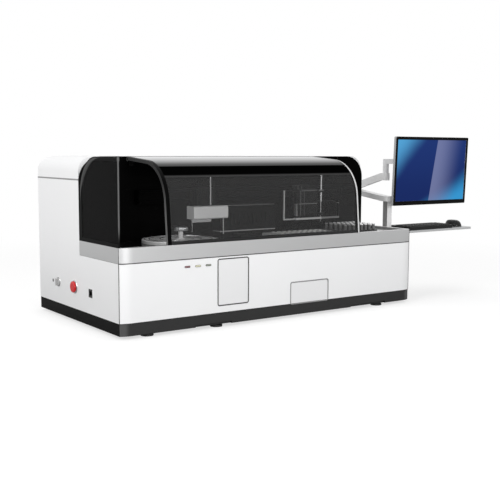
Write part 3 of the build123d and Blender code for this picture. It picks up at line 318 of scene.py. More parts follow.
def base_coat():
    """Base skirt: black powder coat, with painted shade that makes the ends deeper and a painted
    highlight round the front corners.
    """
    paint = Paint("base_black", grey(0.02), 0.5)
    aside = abs(paint.facing("X"))
    # Painted highlight round the front corners, and painted shade that deepens the faces turned to
    # the ends
    painted_glint = aside.ease(0.1, 0.3) * aside.ease(0.75, 0.4)
    coat = paint.blend(aside.ease(0.5, 0.9), grey(0.036), grey(0.005))
    cloud = paint.noise(3.0, 2.0)
    paint.set(
        Base_Color=paint.blend(painted_glint * 0.8, coat, grey(0.095)),
        Roughness=0.5 + (cloud - 0.5) * 0.1,
        Specular_IOR_Level=0.06,
    )
    paint.relief(paint.noise(700.0, 2.0), 0.3, 0.0003, paint.edges(0.002))
    return paint.material


def socket_face():
    """Data socket: white flange round a black mouth."""
    middle = middle_of("data_socket")
    half_mouth = 0.0172
    paint = Paint("data_socket", grey(0.8), 0.4)
    off = abs(paint.axis("Y") - middle.y).top(abs(paint.axis("Z") - middle.z))
    mouth = off.ease(half_mouth, half_mouth - 0.0006)
    grain = paint.noise(COARSE, 2.0)
    paint.set(
        Base_Color=paint.blend(mouth, (0.82, 0.822, 0.828), grey(0.01)),
        Roughness=0.35 + grain * 0.1,
    )
    paint.relief(grain, 0.1, 0.0002, paint.edges(0.0006))
    return paint.material


def two_tone_band():
    """Hood top: a pale strip, white that falls to grey as a painted reflection, then a crisp start
    of gloss black.
    """
    change = 0.640
    paint = Paint("hood_top", grey(0.8), 0.3)
    height = paint.axis("Z") - change
    # Painted reflection: the pale strip falls from white to grey towards the black
    pale = paint.blend(height.ease(0.002, 0.042), grey(0.075), WHITE)
    tint = paint.blend(height.ease(-0.038, -0.032), grey(0.040), grey(0.001))
    cloud = paint.noise(8.0, 2.0)
    paint.set(
        Base_Color=paint.blend(height.ease(-0.0005, 0.0005), tint, pale),
        Roughness=0.3 + (cloud - 0.5) * 0.1,
        Specular_IOR_Level=0.0,
    )
    paint.relief(paint.noise(COARSE, 2.0), 0.06, 0.0002, paint.edges(0.001))
    return paint.material


def arched_frame():
    """Left end frame of the hood: brushed outer face that darkens upwards, black on the rest."""
    paint = Paint("left_arch", grey(0.002), 0.3)
    outer = (0.0 - paint.facing("X")).ease(0.45, 0.6)
    lines = paint.noise(COARSE, 2.0)
    tone = paint.blend(paint.axis("Z").ease(0.42, 0.60), grey(0.30), grey(0.085))
    brushed = paint.blend(lines * 0.15, tone, grey(0.03))
    paint.set(
        Base_Color=paint.blend(outer, grey(0.002), brushed),
        Roughness=0.26 + lines * 0.1,
        Metallic=outer * 0.4,
        Specular_IOR_Level=0.02,
    )
    paint.relief(lines, 0.04, 0.0002)
    return paint.material


def lined_frame():
    """Right end frame of the hood: black with one bright line along its middle."""
    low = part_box("hood_right_frame")[0]
    paint = Paint("right_arch", grey(0.004), 0.3)
    line = (paint.axis("X") - low.x).between(0.0045, 0.0130, 0.001)
    scratch = paint.noise(COARSE, 2.0)
    bright = paint.blend(scratch, grey(0.58), grey(0.68))
    paint.set(
        Base_Color=paint.blend(line, grey(0.004), bright),
        Roughness=0.28 + scratch * 0.1,
        Specular_IOR_Level=0.02,
    )
    paint.relief(scratch, 0.04, 0.0002)
    return paint.material


def lens(name, colour):
    """Diffusing lamp lens: fine ribs and a faint glow of its own colour."""
    paint = Paint(name, colour, 0.18, **{"Coat Weight": 0.6, "Emission Strength": 0.05})
    cloud = paint.noise(60.0, 2.0)
    paint.set(Base_Color=paint.blend(cloud, scaled(colour, 0.85), colour))
    paint.set(Emission_Color=paint.blend(cloud, scaled(colour, 0.7), colour))
    ribs = (paint.axis("X") * 3500.0).wave()
    paint.relief(ribs, 0.3, 0.0003, paint.edges(0.0008))
    return paint.material


def deck_surface():
    """Deck plate: gloss black, with brushed stainless beyond the rack bay at the right end."""
    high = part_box("sample_racks")[1]
    paint = Paint("deck_surface", grey(0.008), 0.1)
    bare = paint.axis("X").ease(high.x + 0.004, high.x + 0.005)
    lines = paint.noise(1400.0, 3.0, 0.6, (1, 0.02, 1))
    wipes = paint.noise(7.0, 5.0, 0.65)
    bright = paint.blend(lines, grey(0.66), grey(0.76))
    paint.set(
        Base_Color=paint.blend(bare, grey(0.008), bright),
        Roughness=0.08 + bare * 0.25 + wipes.ease(0.45, 0.8) * 0.1,
        Metallic=bare * 0.6,
        Specular_IOR_Level=0.4,
    )
    paint.relief(lines * bare, 0.05, 0.0002)
    return paint.material


def rim_metal():
    """Deck rim: brushed along its length, with a paler top face beside the rack bay."""
    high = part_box("hood_right_frame")[1]
    paint = Paint("rim_metal", SILVER, 0.46, Metallic=1.0)
    lines = paint.noise(1400.0, 3.0, 0.6, (0.02, 1, 1))
    cloud = paint.noise(5.0, 3.0)
    top = paint.facing("Z").ease(0.5, 0.7) * (paint.axis("X") - high.x).ease(-0.002, 0.004)
    brushed = paint.blend(lines, grey(0.5), SILVER)
    paint.set(
        Base_Color=paint.blend(top, brushed, grey(0.84)),
        Roughness=0.46 + (lines - 0.5) * 0.12 + (cloud - 0.5) * 0.08,
        Metallic=1.0 - top * 0.85,
    )
    paint.relief(lines, 0.06, 0.0002, paint.edges(0.002))
    return paint.material


def wash_lines():
    """Wash station: near-black body, paler over its top few millimetres, with a pale line at its
    step.
    """
    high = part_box("wash_station")[1]
    step_drop = 0.112
    paint = Paint("wash_station", grey(0.006), 0.35, **shine(0.03))
    height = paint.axis("Z") - high.z
    upper = (height + 0.004).ease(0.0, 0.0006)
    lower = abs(height + step_drop).ease(0.0026, 0.0018)
    lines = paint.noise(COARSE, 2.0)
    dark = paint.blend(lines, grey(0.004), grey(0.010))
    paint.set(
        Base_Color=paint.blend((upper * 0.35).top(lower * 0.8), dark, grey(0.6)),
        Roughness=0.3 + lines * 0.15,
    )
    paint.relief(lines, 0.06, 0.0002, paint.edges(0.001))
    return paint.material


def left_cover():
    """Left carriage: pale sprayed cover, near-black plate above it and slider behind it."""
    low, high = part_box("left_carriage")
    cover_back = low.y + 0.0580
    cover_top = high.z - 0.0750
    paint = Paint("left_cover", grey(0.8), 0.3)
    before = (paint.axis("Y") - cover_back).ease(0.0004, 0.0)
    below = (paint.axis("Z") - cover_top).ease(0.0005, -0.0005)
    pale = paint.blend(paint.noise(6.0, 2.0), grey(0.84), grey(0.90))
    paint.set(
        Base_Color=paint.blend(before * below, grey(0.004), pale),
        Roughness=0.3 + (paint.noise(14.0, 4.0) - 0.5) * 0.1,
        Specular_IOR_Level=0.1,
    )
    paint.relief(paint.noise(COARSE, 2.0), 0.1, 0.0002, paint.edges(0.001))
    return paint.material


def lined_carriage():
    """Right carriage: black, with bright clip and lower guard bar and faint pale lines along its
    edges that are painted highlights.
    """
    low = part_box("right_carriage")[0]
    soft = 0.0006
    guard_top = 0.3998
    shelf_height = 0.462
    paint = Paint("right_lines", grey(0.01), 0.3)
    across = paint.axis("X") - low.x
    height = paint.axis("Z")
    clip = across.ease(0.0072, 0.0066)
    past_rod = across.ease(0.213, 0.207, 0.35, 0.85)
    guard = height.ease(guard_top, guard_top - soft) * past_rod
    # Painted highlights: faint pale lines along the edges of the shelf, crown, uprights and side
    shelf = abs(height - shelf_height).ease(0.0020, 0.0014) * across.ease(0.085, 0.087)
    crown = height.between(0.5190, 0.5262, soft) * across.ease(0.100, 0.102)
    uprights = across.between(0.0936, 0.0990, soft) + across.between(0.1160, 0.1194, soft)
    side = across.between(0.0736, 0.0790, soft) * height.ease(0.464, 0.463)
    marks = (shelf * 0.30).top(crown * 0.16).top(uprights * 0.15).top(side * 0.35)
    body = paint.blend(marks, grey(0.006), grey(0.8))
    grain = paint.noise(COARSE, 2.0)
    bright = paint.blend(grain, grey(0.74), grey(0.84))
    paint.set(
        Base_Color=paint.blend((clip * 0.85).top(guard), body, bright),
        Roughness=0.28 + grain * 0.1,
        Specular_IOR_Level=0.1,
    )
    paint.relief(grain, 0.06, 0.0002, paint.edges(0.0008))
    return paint.material


def painted_shade_sides(name, letter, face, cloudy):
    """Sprayed arm metal, faintly cloudy, with painted shade on the faces turned down an axis."""
    paint = Paint(name, cloudy[1], 0.3)
    # Painted shade: faces turned down the axis take the darker colour given as face
    away = (0.0 - paint.facing(letter)).ease(0.3, 0.6)
    cloud = paint.noise(6.0, 2.0)
    paint.set(
        Base_Color=paint.blend(away, paint.blend(cloud, *cloudy), face),
        Roughness=0.3 + (cloud - 0.5) * 0.1,
    )
    paint.relief(paint.noise(COARSE, 2.0), 0.1, 0.0002, paint.edges(0.0015))
    return paint.material


def lid_finish():
    """Carousel lid: satin white with fine turned rings and one darker ring."""
    middle = middle_of("carousel_lid")
    paint = Paint("lid_satin", grey(0.4), 0.3)
    x = paint.axis("X") - middle.x
    y = paint.axis("Y") - middle.y
    away = (x * x + y * y).root()
    rings = (away * 2400.0).wave()
    tone = paint.blend(rings.ease(-1.0, 1.0), grey(0.84), grey(0.95))
    dark = away.between(0.090, 0.1225, 0.0005)
    paint.set(
        Base_Color=paint.blend(dark * 0.3, tone, grey(0.10)),
        Roughness=0.3 + rings * 0.04,
    )
    paint.relief(rings, 0.12, 0.0003, paint.edges(0.001))
    return paint.material


def tube_finish():
    """Sample tubes: grey walls and rolled lips; the lips are pale outside the hood and grey under
    it, a painted shade of the hood.
    """
    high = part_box("sample_tubes")[1]
    hood_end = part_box("hood_right_frame")[1].x
    paint = Paint("tube_body", grey(0.3), 0.25)
    lip = (paint.axis("Z") - high.z).ease(-0.0042, -0.0036)
    # Painted shade of the hood on the lips under it
    hood_shade = (paint.axis("X") - hood_end).ease(0.002, -0.002)
    cloud = paint.noise(300.0, 2.0)
    pale = paint.blend(hood_shade, paint.blend(cloud, grey(0.76), grey(0.84)), grey(0.30))
    paint.set(
        Base_Color=paint.blend(lip, grey(0.16), pale),
        Roughness=0.2 + cloud * 0.1,
    )
    paint.relief(cloud, 0.04, 0.0002)
    return paint.material


def monitor_case():
    """Monitor housing: black bezel, silver-grey sides, and a row of air slots in the back."""
    slot_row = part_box("monitor_housing")[1].z - 0.045
    silver = (0.42, 0.425, 0.43)
    paint = Paint("monitor_case", grey(0.3), 0.3)
    across = paint.axis("X") - middle_of("monitor_housing").x
    row = abs(paint.axis("Z") - slot_row).ease(0.0115, 0.0105) * abs(across).ease(0.150, 0.149)
    slots = paint.facing("Y").ease(0.8, 0.9) * row * (across * 640.0).wave().ease(0.1, 0.3)
    front = (0.0 - paint.facing("Y")).ease(0.8, 0.9)
    grain = paint.noise(1200.0, 2.0)
    paint.set(
        Base_Color=paint.blend(front, paint.blend(slots, silver, grey(0.012)), grey(0.004)),
        Roughness=0.3 + (grain - 0.5) * 0.1,
        Specular_IOR_Level=0.03,
    )
    paint.relief(grain, 0.08, 0.0002, paint.edges(0.0008))
    return paint.material


def board():
    """Circuit board: green mask over a grid of copper lines."""
    paint = Paint("board_green", (0.02, 0.16, 0.07), 0.35)
    upright = paint.node(
        "ShaderNodeMapping", None, {"Vector": paint.place, "Rotation": (radians(90), 0, 0)}
    )
    grid = paint.node(
        "ShaderNodeTexBrick",
        {"offset": 0.5},
        {"Vector": upright, "Scale": 60.0, "Mortar Size": 0.03},
        "Fac",
    )
    paint.set(Base_Color=paint.blend(grid, (0.02, 0.15, 0.07), (0.05, 0.3, 0.14)))
    paint.relief(grid, 0.3, 0.0003)
    return paint.material


def display():
    """Display picture: navy, a pale veil with one crisp slanting edge, and two lit corners."""
    low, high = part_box("monitor_screen")
    paint = Paint("screen_blue", (0.001, 0.001, 0.002), 0.14, **shine(0.015))
    across = (paint.axis("X") - low.x) / (high.x - low.x)
    up = (paint.axis("Z") - low.z) / (high.z - low.z)
    swirl = (paint.noise(5.0, 2.0) - 0.5) * 0.16
    navy = paint.blend(up.ease(0.0, 1.0), (0.008, 0.022, 0.120), (0.012, 0.034, 0.165))
    top_left = (up - across * 1.75 + swirl).ease(0.25, 0.95)
    low_right = (across * 1.2 - up * 1.5 + swirl).ease(0.35, 1.05)
    lit = paint.blend(top_left, navy, (0.085, 0.36, 0.66))
    lit = paint.blend(low_right, lit, (0.035, 0.30, 0.62))
    slant = across - 0.47 - up * 0.10
    veil = slant.ease(0.0, 0.006) * slant.ease(0.42, 0.02) * 0.62
    picture = paint.blend(veil, lit, (0.24, 0.27, 0.47))
    paint.set(Emission_Color=picture, Emission_Strength=1.0)
    paint.relief(paint.cells(2600.0), 0.04, 0.0001)
    return paint.material


# Finishes, those named in the record first
FINISHES = {
    "white_paint": coated("white_paint", WHITE, 0.34),
    "base_black": base_coat(),
    "foot_rubber": moulded("foot_rubber", grey(0.018), 0.6, COARSE),
    "frame_steel": coated("frame_steel", (0.42, 0.43, 0.44), 0.45),
    "silver_rim": metal("silver_rim", SILVER, 0.46, (0.02, 1, 1), 0.06, 0.002),
    "gloss_black": polished("gloss_black", grey(0.006), 0.09, 0.10, **shine(0.3)),
    "smoked_hood": smoked("smoked_hood", grey(0.065), 0.74, 0.06, **shine(0.01)),
    "red_lens": lens("red_lens", (0.20, 0.07, 0.08)),
    "amber_lens": lens("amber_lens", (0.74, 0.72, 0.50)),
    "green_lens": lens("green_lens", (0.27, 0.30, 0.24)),
    "black_plastic": moulded("black_plastic", grey(0.010), 0.38, **shine(0.15)),
    "key_black": moulded("key_black", grey(0.012), 0.42, FINE, 0.15, **shine(0.12)),
    "motor_grey": coated("motor_grey", grey(0.07), 0.4),
    "grey_plastic": moulded("grey_plastic", grey(0.2), 0.4),
    "bottle_white": moulded("bottle_white", (0.78, 0.78, 0.74), 0.35),
    "white_plastic": moulded("white_plastic", (0.84, 0.842, 0.85), 0.3, 2400.0, 0.12),
    "anodised": metal("anodised", (0.62, 0.63, 0.64), 0.3, (0.02, 1, 1)),
    "steel": metal("steel", (0.7, 0.7, 0.71), 0.2, (1, 1, 0.02)),
    "board_green": board(),
    "red_button": moulded("red_button", (0.62, 0.008, 0.012), 0.2, 2400.0, 0.06),
    "rack_grey": moulded("rack_grey", grey(0.035), 0.38),
    "tube_clear": moulded("tube_clear", (0.72, 0.72, 0.7), 0.2, 2400.0, 0.05),
    "screen_blue": display(),
    "door_white": coated("door_white", (0.80, 0.802, 0.808), 0.34),
    "wall_black": polished("wall_black", grey(0.002), 0.16, 0.08, **shine(0.01)),
    "beam_dark": coated("beam_dark", grey(0.001), 0.3, **shine(0.02)),
    "hinge_black": coated("hinge_black", grey(0.004), 0.4, **shine(0.1)),
    # Painted shade on the downward faces of the arms and the left faces of the column
    "arm_paint": painted_shade_sides("arm_paint", "Z", grey(0.25), (grey(0.88), grey(0.93))),
    "column_paint": painted_shade_sides("column_paint", "X", grey(0.26), (grey(0.72), grey(0.78))),
    "block_light": coated("block_light", grey(0.5), 0.35),
    "switch_grey": moulded("switch_grey", grey(0.45), 0.35),
    # Dark finishes for beads that stand for painted shade in seams and gaps; the grey one also
    # serves lamp bezels and the mouse wheel
    "grey_parts_and_gap_shade": moulded("grey_parts_and_gap_shade", grey(0.06), 0.5),
    "pale_gap_shade": moulded("pale_gap_shade", grey(0.26), 0.5),
    "black_gap_shade": moulded("black_gap_shade", grey(0.012), 0.6),
    "chrome": metal("chrome", grey(0.75), 0.16),
    "mouse_black": moulded("mouse_black", grey(0.008), 0.3, FINE, 0.1, **shine(0.2)),
    "hood_top": two_tone_band(),
    "left_arch": arched_frame(),
    "right_arch": lined_frame(),
    "end_pane": end_screen("end_pane", 0.3),
    "end_frame": end_screen("end_frame", 0.0),
    "deck_surface": deck_surface(),
    "rim_metal": rim_metal(),
    "wash_lines": wash_lines(),
    "left_cover": left_cover(),
    "right_lines": lined_carriage(),
    "lid_satin": lid_finish(),
    "tube_body": tube_finish(),
    "monitor_case": monitor_case(),
    "socket_white": socket_face(),
}

# CAD nodes whose finish differs from the plain one in the record
OWN_FINISH = {
    "rear_wall": "wall_black",
    "side_screen": "end_pane",
    "side_screen_frame": "end_frame",
    "deck_plate": "deck_surface",
    "deck_rim": "rim_metal",
    "gantry_beam": "beam_dark",
    "left_carriage": "left_cover",
    "right_carriage": "right_lines",
    "carousel_lid": "lid_satin",
    "incubation_block": "block_light",
    "wash_station": "wash_lines",
    "access_door": "door_white",
    "drawer_front": "door_white",
    "data_socket": "socket_white",
    "power_knob": "switch_grey",
    "hood_hinges": "hinge_black",
    "hood_top_band": "hood_top",
    "hood_left_frame": "left_arch",
    "hood_right_frame": "right_arch",
    "arm_column": "column_paint",
    "lower_arm": "arm_paint",
    "upper_arm": "arm_paint",
    "monitor_housing": "monitor_case",
}
slots = {row["node"]: row["material_slot"] for row in frame["record"]["subparts"]}
for node, thing in frame["nodes"].items():
    thing.data.materials.clear()
    thing.data.materials.append(FINISHES[OWN_FINISH.get(node, slots[node])])


# Pieces made as surfaces; each way turns a piece's own z axis to point there
WAYS = {
    "up": np.eye(3),
    "left": np.array([[0, 0, -1], [0, 1, 0], [1, 0, 0]]),
    "right": np.array([[0, 0, 1], [0, 1, 0], [-1, 0, 0]]),
    "front": np.array([[1, 0, 0], [0, 0, -1], [0, 1, 0]]),
    "back": np.array([[-1, 0, 0], [0, 0, 1], [0, 1, 0]]),
}


def skin(name, grid, finish, body, looped=False):
    """Closed mesh over a grid of points (copies, rows, columns, xyz).

    Point (i, j) joins (i, j+1), (i+1, j+1) and (i+1, j), with j running round; the rows either
    run round too or end in flat caps.
    """
    grid = grid.reshape(-1, *grid.shape[-3:])
    copies, rows, count = grid.shape[:3]
    index = np.arange(copies * rows * count).reshape(copies, rows, count)
    below = index if looped else index[:, :-1]
    above = np.roll(index, -1, axis=1) if looped else index[:, 1:]
    quads = np.stack([below, np.roll(below, -1, 2), np.roll(above, -1, 2), above], axis=-1)
    faces = quads.reshape(-1, 4).tolist()
    if not looped:
        faces += index[:, 0, ::-1].tolist() + index[:, -1].tolist()
    mesh = bpy.data.meshes.new(name)
    mesh.from_pydata(grid.reshape(-1, 3).tolist(), [], faces)
    shape = bmesh.new()
    shape.from_mesh(mesh)
    bmesh.ops.recalc_face_normals(shape, faces=shape.faces)
    shape.to_mesh(mesh)
    shape.free()
    mesh.shade_smooth()
    mesh.set_sharp_from_angle(angle=radians(38))
    mesh.materials.append(FINISHES[finish])
    thing = bpy.data.objects.new(name, mesh)
    scene.collection.objects.link(thing)
    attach(thing, body)
    return thing


def set_out(local, spots, way):
    """Copies of local points, turned to face a way, one at each spot."""
    return local @ WAYS[way].T + np.asarray(spots, float).reshape(-1, 1, 1, 3)


def turned(spots, profile, way="up", sides=48, flutes=0, cut=0.0):
    """Turned copies: local x = r w cos a, y = r w sin a, z = h, with w = 1 + cut cos(flutes a)."""
    angle = np.linspace(0, 2 * np.pi, sides, endpoint=False)
    radius, height = np.asarray(profile, float).T
    wave = 1 + np.broadcast_to(cut, radius.shape)[:, None] * np.cos(flutes * angle)
    across = radius[:, None] * wave
    rings = [across * np.cos(angle), across * np.sin(angle), height[:, None] + 0 * across]
    return set_out(np.stack(rings, axis=-1), spots, way)


def rounded(half_x, half_y, radius, steps=8):
    """Rounded rectangle: s (a - r) + r (cos t, sin t), s the corner's sign; with its normals."""
    angle = np.linspace(0, np.pi / 2, steps) + np.arange(4)[:, None] * np.pi / 2
    sign = np.array([[1, 1], [-1, 1], [-1, -1], [1, -1]])[:, None]
    normal = np.stack([np.cos(angle), np.sin(angle)], axis=-1)
    points = sign * (np.array([half_x, half_y]) - radius) + radius * normal
    return points.reshape(-1, 2), normal.reshape(-1, 2)


def signed(values, power):
    """Power of the size of each value, with the value's own sign."""
    return np.sign(values) * np.abs(values) ** power


def bead(centre, half_x, half_y, radius, width, proud, way):
    """Ring of squared-off section along a rounded rectangle.

    Point + normal C w / 2 at height p S, where C and S are cos a and sin a to the power 0.6
    with their signs, w the width, p the proud height, and a runs round the section.
    """
    points, normals = rounded(half_x, half_y, radius)
    angle = np.linspace(0, -2 * np.pi, 16, endpoint=False)
    aside = signed(np.cos(angle), 0.6) * width / 2
    out = points[:, None] + normals[:, None] * aside[:, None]
    high = np.broadcast_to(proud * signed(np.sin(angle), 0.6), out.shape[:2])
    local = np.concatenate([out, high[..., None]], axis=-1)
    return set_out(local, centre, way)


def stacked(spots, rows, way="up"):
    """Rounded rectangles one above another: each row gives half width, depth, radius, height."""
    rings = np.array([rounded(a, b, r)[0] for a, b, r, _ in rows])
    height = np.array([row[3] for row in rows])[:, None, None]
    local = np.concatenate([rings, np.broadcast_to(height, (*rings.shape[:2], 1))], axis=-1)
    return set_out(local, spots, way)


def squares(rows):
    """Rows for stacked from half width, radius and height."""
    return [(half, half, radius, height) for half, radius, height in rows]


def lattice(across, deep, level):
    """Spots of a level grid: (x, y, z) for every x with every y."""
    return np.stack(np.meshgrid(across, deep, [level], indexing="ij"), axis=-1).reshape(-1, 3)


def cord(path, outward, width, proud):
    """Bead along an open path: path + outward p cos a + side w sin a / 2, side square to both."""
    outward = np.broadcast_to(np.asarray(outward, float), path.shape)
    along = np.gradient(path, axis=0)
    along /= np.linalg.norm(along, axis=1, keepdims=True)
    side = np.cross(along, outward)
    angle = np.linspace(0, 2 * np.pi, 12, endpoint=False)
    reach = outward[:, None] * (proud * np.cos(angle))[:, None]
    return path[:, None] + reach + side[:, None] * (width / 2 * np.sin(angle))[:, None]


def front_path(level, run_back):
    """Plan of the cabinet front with its drawn-back corners, left to right, and its outward way.

    Each corner is the quadratic curve (1-t)^2 A + 2t(1-t) B + t^2 C between side and front.
    """
    low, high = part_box("front_panel")
    t = np.linspace(0, 1, 12)[:, None]
    a = np.array([low.x, low.y + 0.012])
    b = np.array([low.x + 0.012, low.y + 0.0005])
    c = np.array([low.x + 0.055, low.y])
    corner = (1 - t) ** 2 * a + 2 * t * (1 - t) * b + t**2 * c
    half = np.concatenate([[[low.x, run_back]], corner])
    other = half[::-1] * [-1, 1] + [low.x + high.x, 0]
    plan = np.concatenate([half, other])
    path = np.column_stack([plan, np.full(len(plan), level)])
    along = np.gradient(path, axis=0)
    out = np.cross(along, [0.0, 0.0, 1.0])
    return path, out / np.linalg.norm(out, axis=1, keepdims=True)


front_low, front_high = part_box("front_panel")
rim_low, rim_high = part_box("deck_rim")
seam_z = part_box("top_cover")[0].z - 0.0005
back_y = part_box("rear_panel")[1].y
wall_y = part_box("rear_wall")[1].y
left_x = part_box("left_side_panel")[0].x
right_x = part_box("right_side_panel")[1].x

# Dark beads along the long seams of the shell, painted shade of the gaps, by width and proud
# height
RIM_BEAD = (0.0040, 0.0008)
BASE_BEAD = (0.0022, 0.0007)
COVER_BEAD = (0.0062, 0.0010)
CORNER_BEAD = (0.0036, 0.0008)
line, out = front_path(rim_low.z - 0.0005, wall_y)
skin("rim_gap_shade", cord(line, out, *RIM_BEAD), "grey_parts_and_gap_shade", "cabinet")
line, out = front_path(front_low.z - 0.0002, back_y)
skin("base_gap_shade", cord(line, out, *BASE_BEAD), "black_gap_shade", "cabinet")
corner_y = front_low.y + 0.0122
for name, x, out in (("left", left_x, (-1, 0, 0)), ("right", right_x, (1, 0, 0))):
    line = np.linspace((x, wall_y, seam_z), (x, back_y, seam_z), 21)
    skin(name + "_cover_seal", cord(line, out, *COVER_BEAD), "pale_gap_shade", "cabinet")
    line = np.linspace((x, corner_y, front_low.z), (x, corner_y, rim_high.z), 13)
    skin(name + "_corner_seal", cord(line, out, *CORNER_BEAD), "grey_parts_and_gap_shade", "cabinet")
line = np.linspace((front_low.x, back_y, seam_z), (front_high.x, back_y, seam_z), 31)
skin("rear_cover_seal", cord(line, (0, 1, 0), *COVER_BEAD), "pale_gap_shade", "cabinet")

# Dark beads round the access door, whose pins stand out above and below it, and the drawer front:
# painted shade of the gaps round them
DOOR_PIN = 0.006
GAP_SHADE_CORNER = 0.008
GAP_SHADE_OUT = 0.0026
GAP_SHADE_BEAD = (0.0046, 0.0010)
for name, node, pin, finish in (
    ("door_gasket", "access_door", DOOR_PIN, "grey_parts_and_gap_shade"),
    ("drawer_gasket", "drawer_front", 0.0, "pale_gap_shade"),
):
    low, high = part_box(node)
    mid = (low + high) / 2
    spot = (mid.x, front_low.y, mid.z)
    half_x = (high.x - low.x) / 2 + GAP_SHADE_OUT
    half_z = (high.z - low.z) / 2 - pin + GAP_SHADE_OUT
    shade_ring = bead(spot, half_x, half_z, GAP_SHADE_CORNER, *GAP_SHADE_BEAD, "front")
    skin(name, shade_ring, finish, "cabinet", looped=True)

# Lamps: domed bar lenses in thin bezels
LENS_X, LENS_Z = 0.0115, 0.0028
BEZEL_OUT = 0.0006
dome = [
    (LENS_X * wide, LENS_Z * tall, LENS_Z * corner, height)
    for wide, tall, corner, height in (
        (1.0, 1.0, 0.98, -0.003),
        (1.0, 1.0, 0.98, 0.001),
        (0.97, 0.84, 0.8, 0.0022),
        (0.9, 0.5, 0.45, 0.0029),
        (0.8, 0.06, 0.05, 0.0031),
    )
]
for colour, node in (("red", "red_lamp"), ("amber", "amber_lamp"), ("green", "green_lamp")):
    mid = middle_of(node)
    spot = (mid.x, front_low.y, mid.z)
    lens_piece = skin(node + "_lens", stacked([spot], dome, "front"), colour + "_lens", "cabinet")
    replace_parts(lens_piece, node)
    bezel = bead(spot, LENS_X + BEZEL_OUT, LENS_Z + BEZEL_OUT, LENS_Z, 0.0012, 0.0012, "front")
    skin(node + "_bezel", bezel, "grey_parts_and_gap_shade", "cabinet", looped=True)

# Left side controls, by radius and height: red button, rotary switch, indicator
mid = middle_of("main_button")
spots = [(left_x, mid.y, mid.z)]
rows = [
    (0.0074, -0.014), (0.0074, 0.0048), (0.0225, 0.0050), (0.023, 0.0056), (0.023, 0.010),
    (0.0222, 0.0117), (0.0195, 0.0128), (0.015, 0.0132), (0.008, 0.0127), (0.0002, 0.0125),
]
button = skin("button_cap", turned(spots, rows, "left", 64), "red_button", "main_button")
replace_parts(button, "main_button")
rows = [
    (0.0275, -0.001), (0.0275, 0.002), (0.0262, 0.0036), (0.0245, 0.0038), (0.0238, 0.0028),
    (0.0238, -0.001),
]
skin("button_bezel", turned(spots, rows, "left", 64), "chrome", "cabinet", looped=True)

mid = middle_of("power_knob")
spots = [(left_x, mid.y, mid.z)]
rows = [
    (0.0205, -0.001), (0.0205, 0.0012), (0.0195, 0.0022), (0.0172, 0.0022), (0.0168, 0.001),
    (0.0168, -0.001),
]
skin("switch_bezel", turned(spots, rows, "left", 64), "chrome", "cabinet", looped=True)
rows = [(0.0165, 0.0012), (0.0165, 0.0048), (0.0158, 0.0056), (0.0135, 0.0060), (0.0002, 0.0060)]
skirt = turned(spots, rows, "left", 96, 24, (0.03, 0.03, 0.02, 0, 0))
skin("switch_skirt", skirt, "switch_grey", "power_knob")

INDICATOR_DEPTH, INDICATOR_Z = 0.628, 0.150
spots = [(left_x, front_low.y + INDICATOR_DEPTH, INDICATOR_Z)]
rows = [
    (0.0068, -0.001), (0.0068, 0.0010), (0.0058, 0.0020), (0.0040, 0.0026), (0.0018, 0.0029),
    (0.0002, 0.0030),
]
skin("indicator", turned(spots, rows, "left", 40), "grey_plastic", "cabinet")

# Carousel lid: raised rings and a dished, fluted knob, with heights from the lid's top face
LID_TOP = 0.015
lid = middle_of("carousel_lid")
spots = [(lid.x, lid.y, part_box("incubation_block")[0].z + LID_TOP)]
ridge = ((-0.0022, -0.0006), (-0.0016, 0.0010), (0.0, 0.0015), (0.0016, 0.0010), (0.0022, -0.0006))
for number, radius in enumerate((0.052, 0.084, 0.128, 0.148)):
    rows = [(radius + aside, height) for aside, height in ridge]
    ring = turned(spots, rows, sides=128)
    skin(f"lid_ring_{number}", ring, "chrome", "carousel_lid", looped=True)
rows = [
    (0.0270, 0.0325), (0.0282, 0.0345), (0.0284, 0.0430), (0.0274, 0.0462), (0.0245, 0.0480),
    (0.0180, 0.0478), (0.0080, 0.0470), (0.0002, 0.0468),
]
grip = turned(spots, rows, sides=144, flutes=24, cut=(0, 0.03, 0.03, 0.02, 0, 0, 0, 0))
skin("lid_knob_grip", grip, "anodised", "carousel_lid")

# Sample tubes: round-bottomed, with a rolled lip and an open mouth
TUBE_RADIUS, BORE_RADIUS, TUBE_FLOOR = 0.0072, 0.0060, 0.0018
TUBE_EDGE = 0.0075
low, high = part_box("sample_tubes")
tall = high.z - low.z
t = np.linspace(0.04, np.pi / 2, 7)
outer = TUBE_RADIUS * np.column_stack([np.sin(t), 1 - np.cos(t)])
inner = BORE_RADIUS * np.column_stack([np.sin(t), 1 - np.cos(t)]) + [0, TUBE_FLOOR]
lip = [
    (0.0072, tall - 0.004), (0.0076, tall - 0.0034), (0.0077, tall - 0.001), (0.0072, tall),
    (0.0064, tall - 0.0004), (0.0060, tall - 0.002),
]
rows = np.concatenate([outer, lip, inner[::-1]])
spots = lattice(
    np.linspace(low.x + TUBE_EDGE, high.x - TUBE_EDGE, 8),
    np.linspace(low.y + TUBE_EDGE, high.y - TUBE_EDGE, 5),
    low.z,
)
tubes = skin("round_tubes", turned(spots, rows, sides=28), "tube_body", "rack_cassette")
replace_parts(tubes, "sample_tubes")

# Cuvettes in the wells of the block: open square cups with a flared lip
WELL_PITCH = 0.030
WELL_DEPTH = 0.0118
mid = middle_of("incubation_block")
well_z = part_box("incubation_block")[1].z - WELL_DEPTH
columns = mid.x + WELL_PITCH * np.arange(-4, 5)
spots = lattice(columns, mid.y + WELL_PITCH * np.arange(-1, 2), well_z)
cup = squares((
    (0.0054, 0.0012, 0.0), (0.0058, 0.0012, 0.0136), (0.0064, 0.0015, 0.0140),
    (0.0065, 0.0015, 0.0149), (0.0058, 0.0012, 0.0153), (0.0050, 0.0010, 0.0147),
    (0.0047, 0.0010, 0.0014),
))
skin("cuvettes", stacked(spots, cup), "tube_clear", "cabinet")

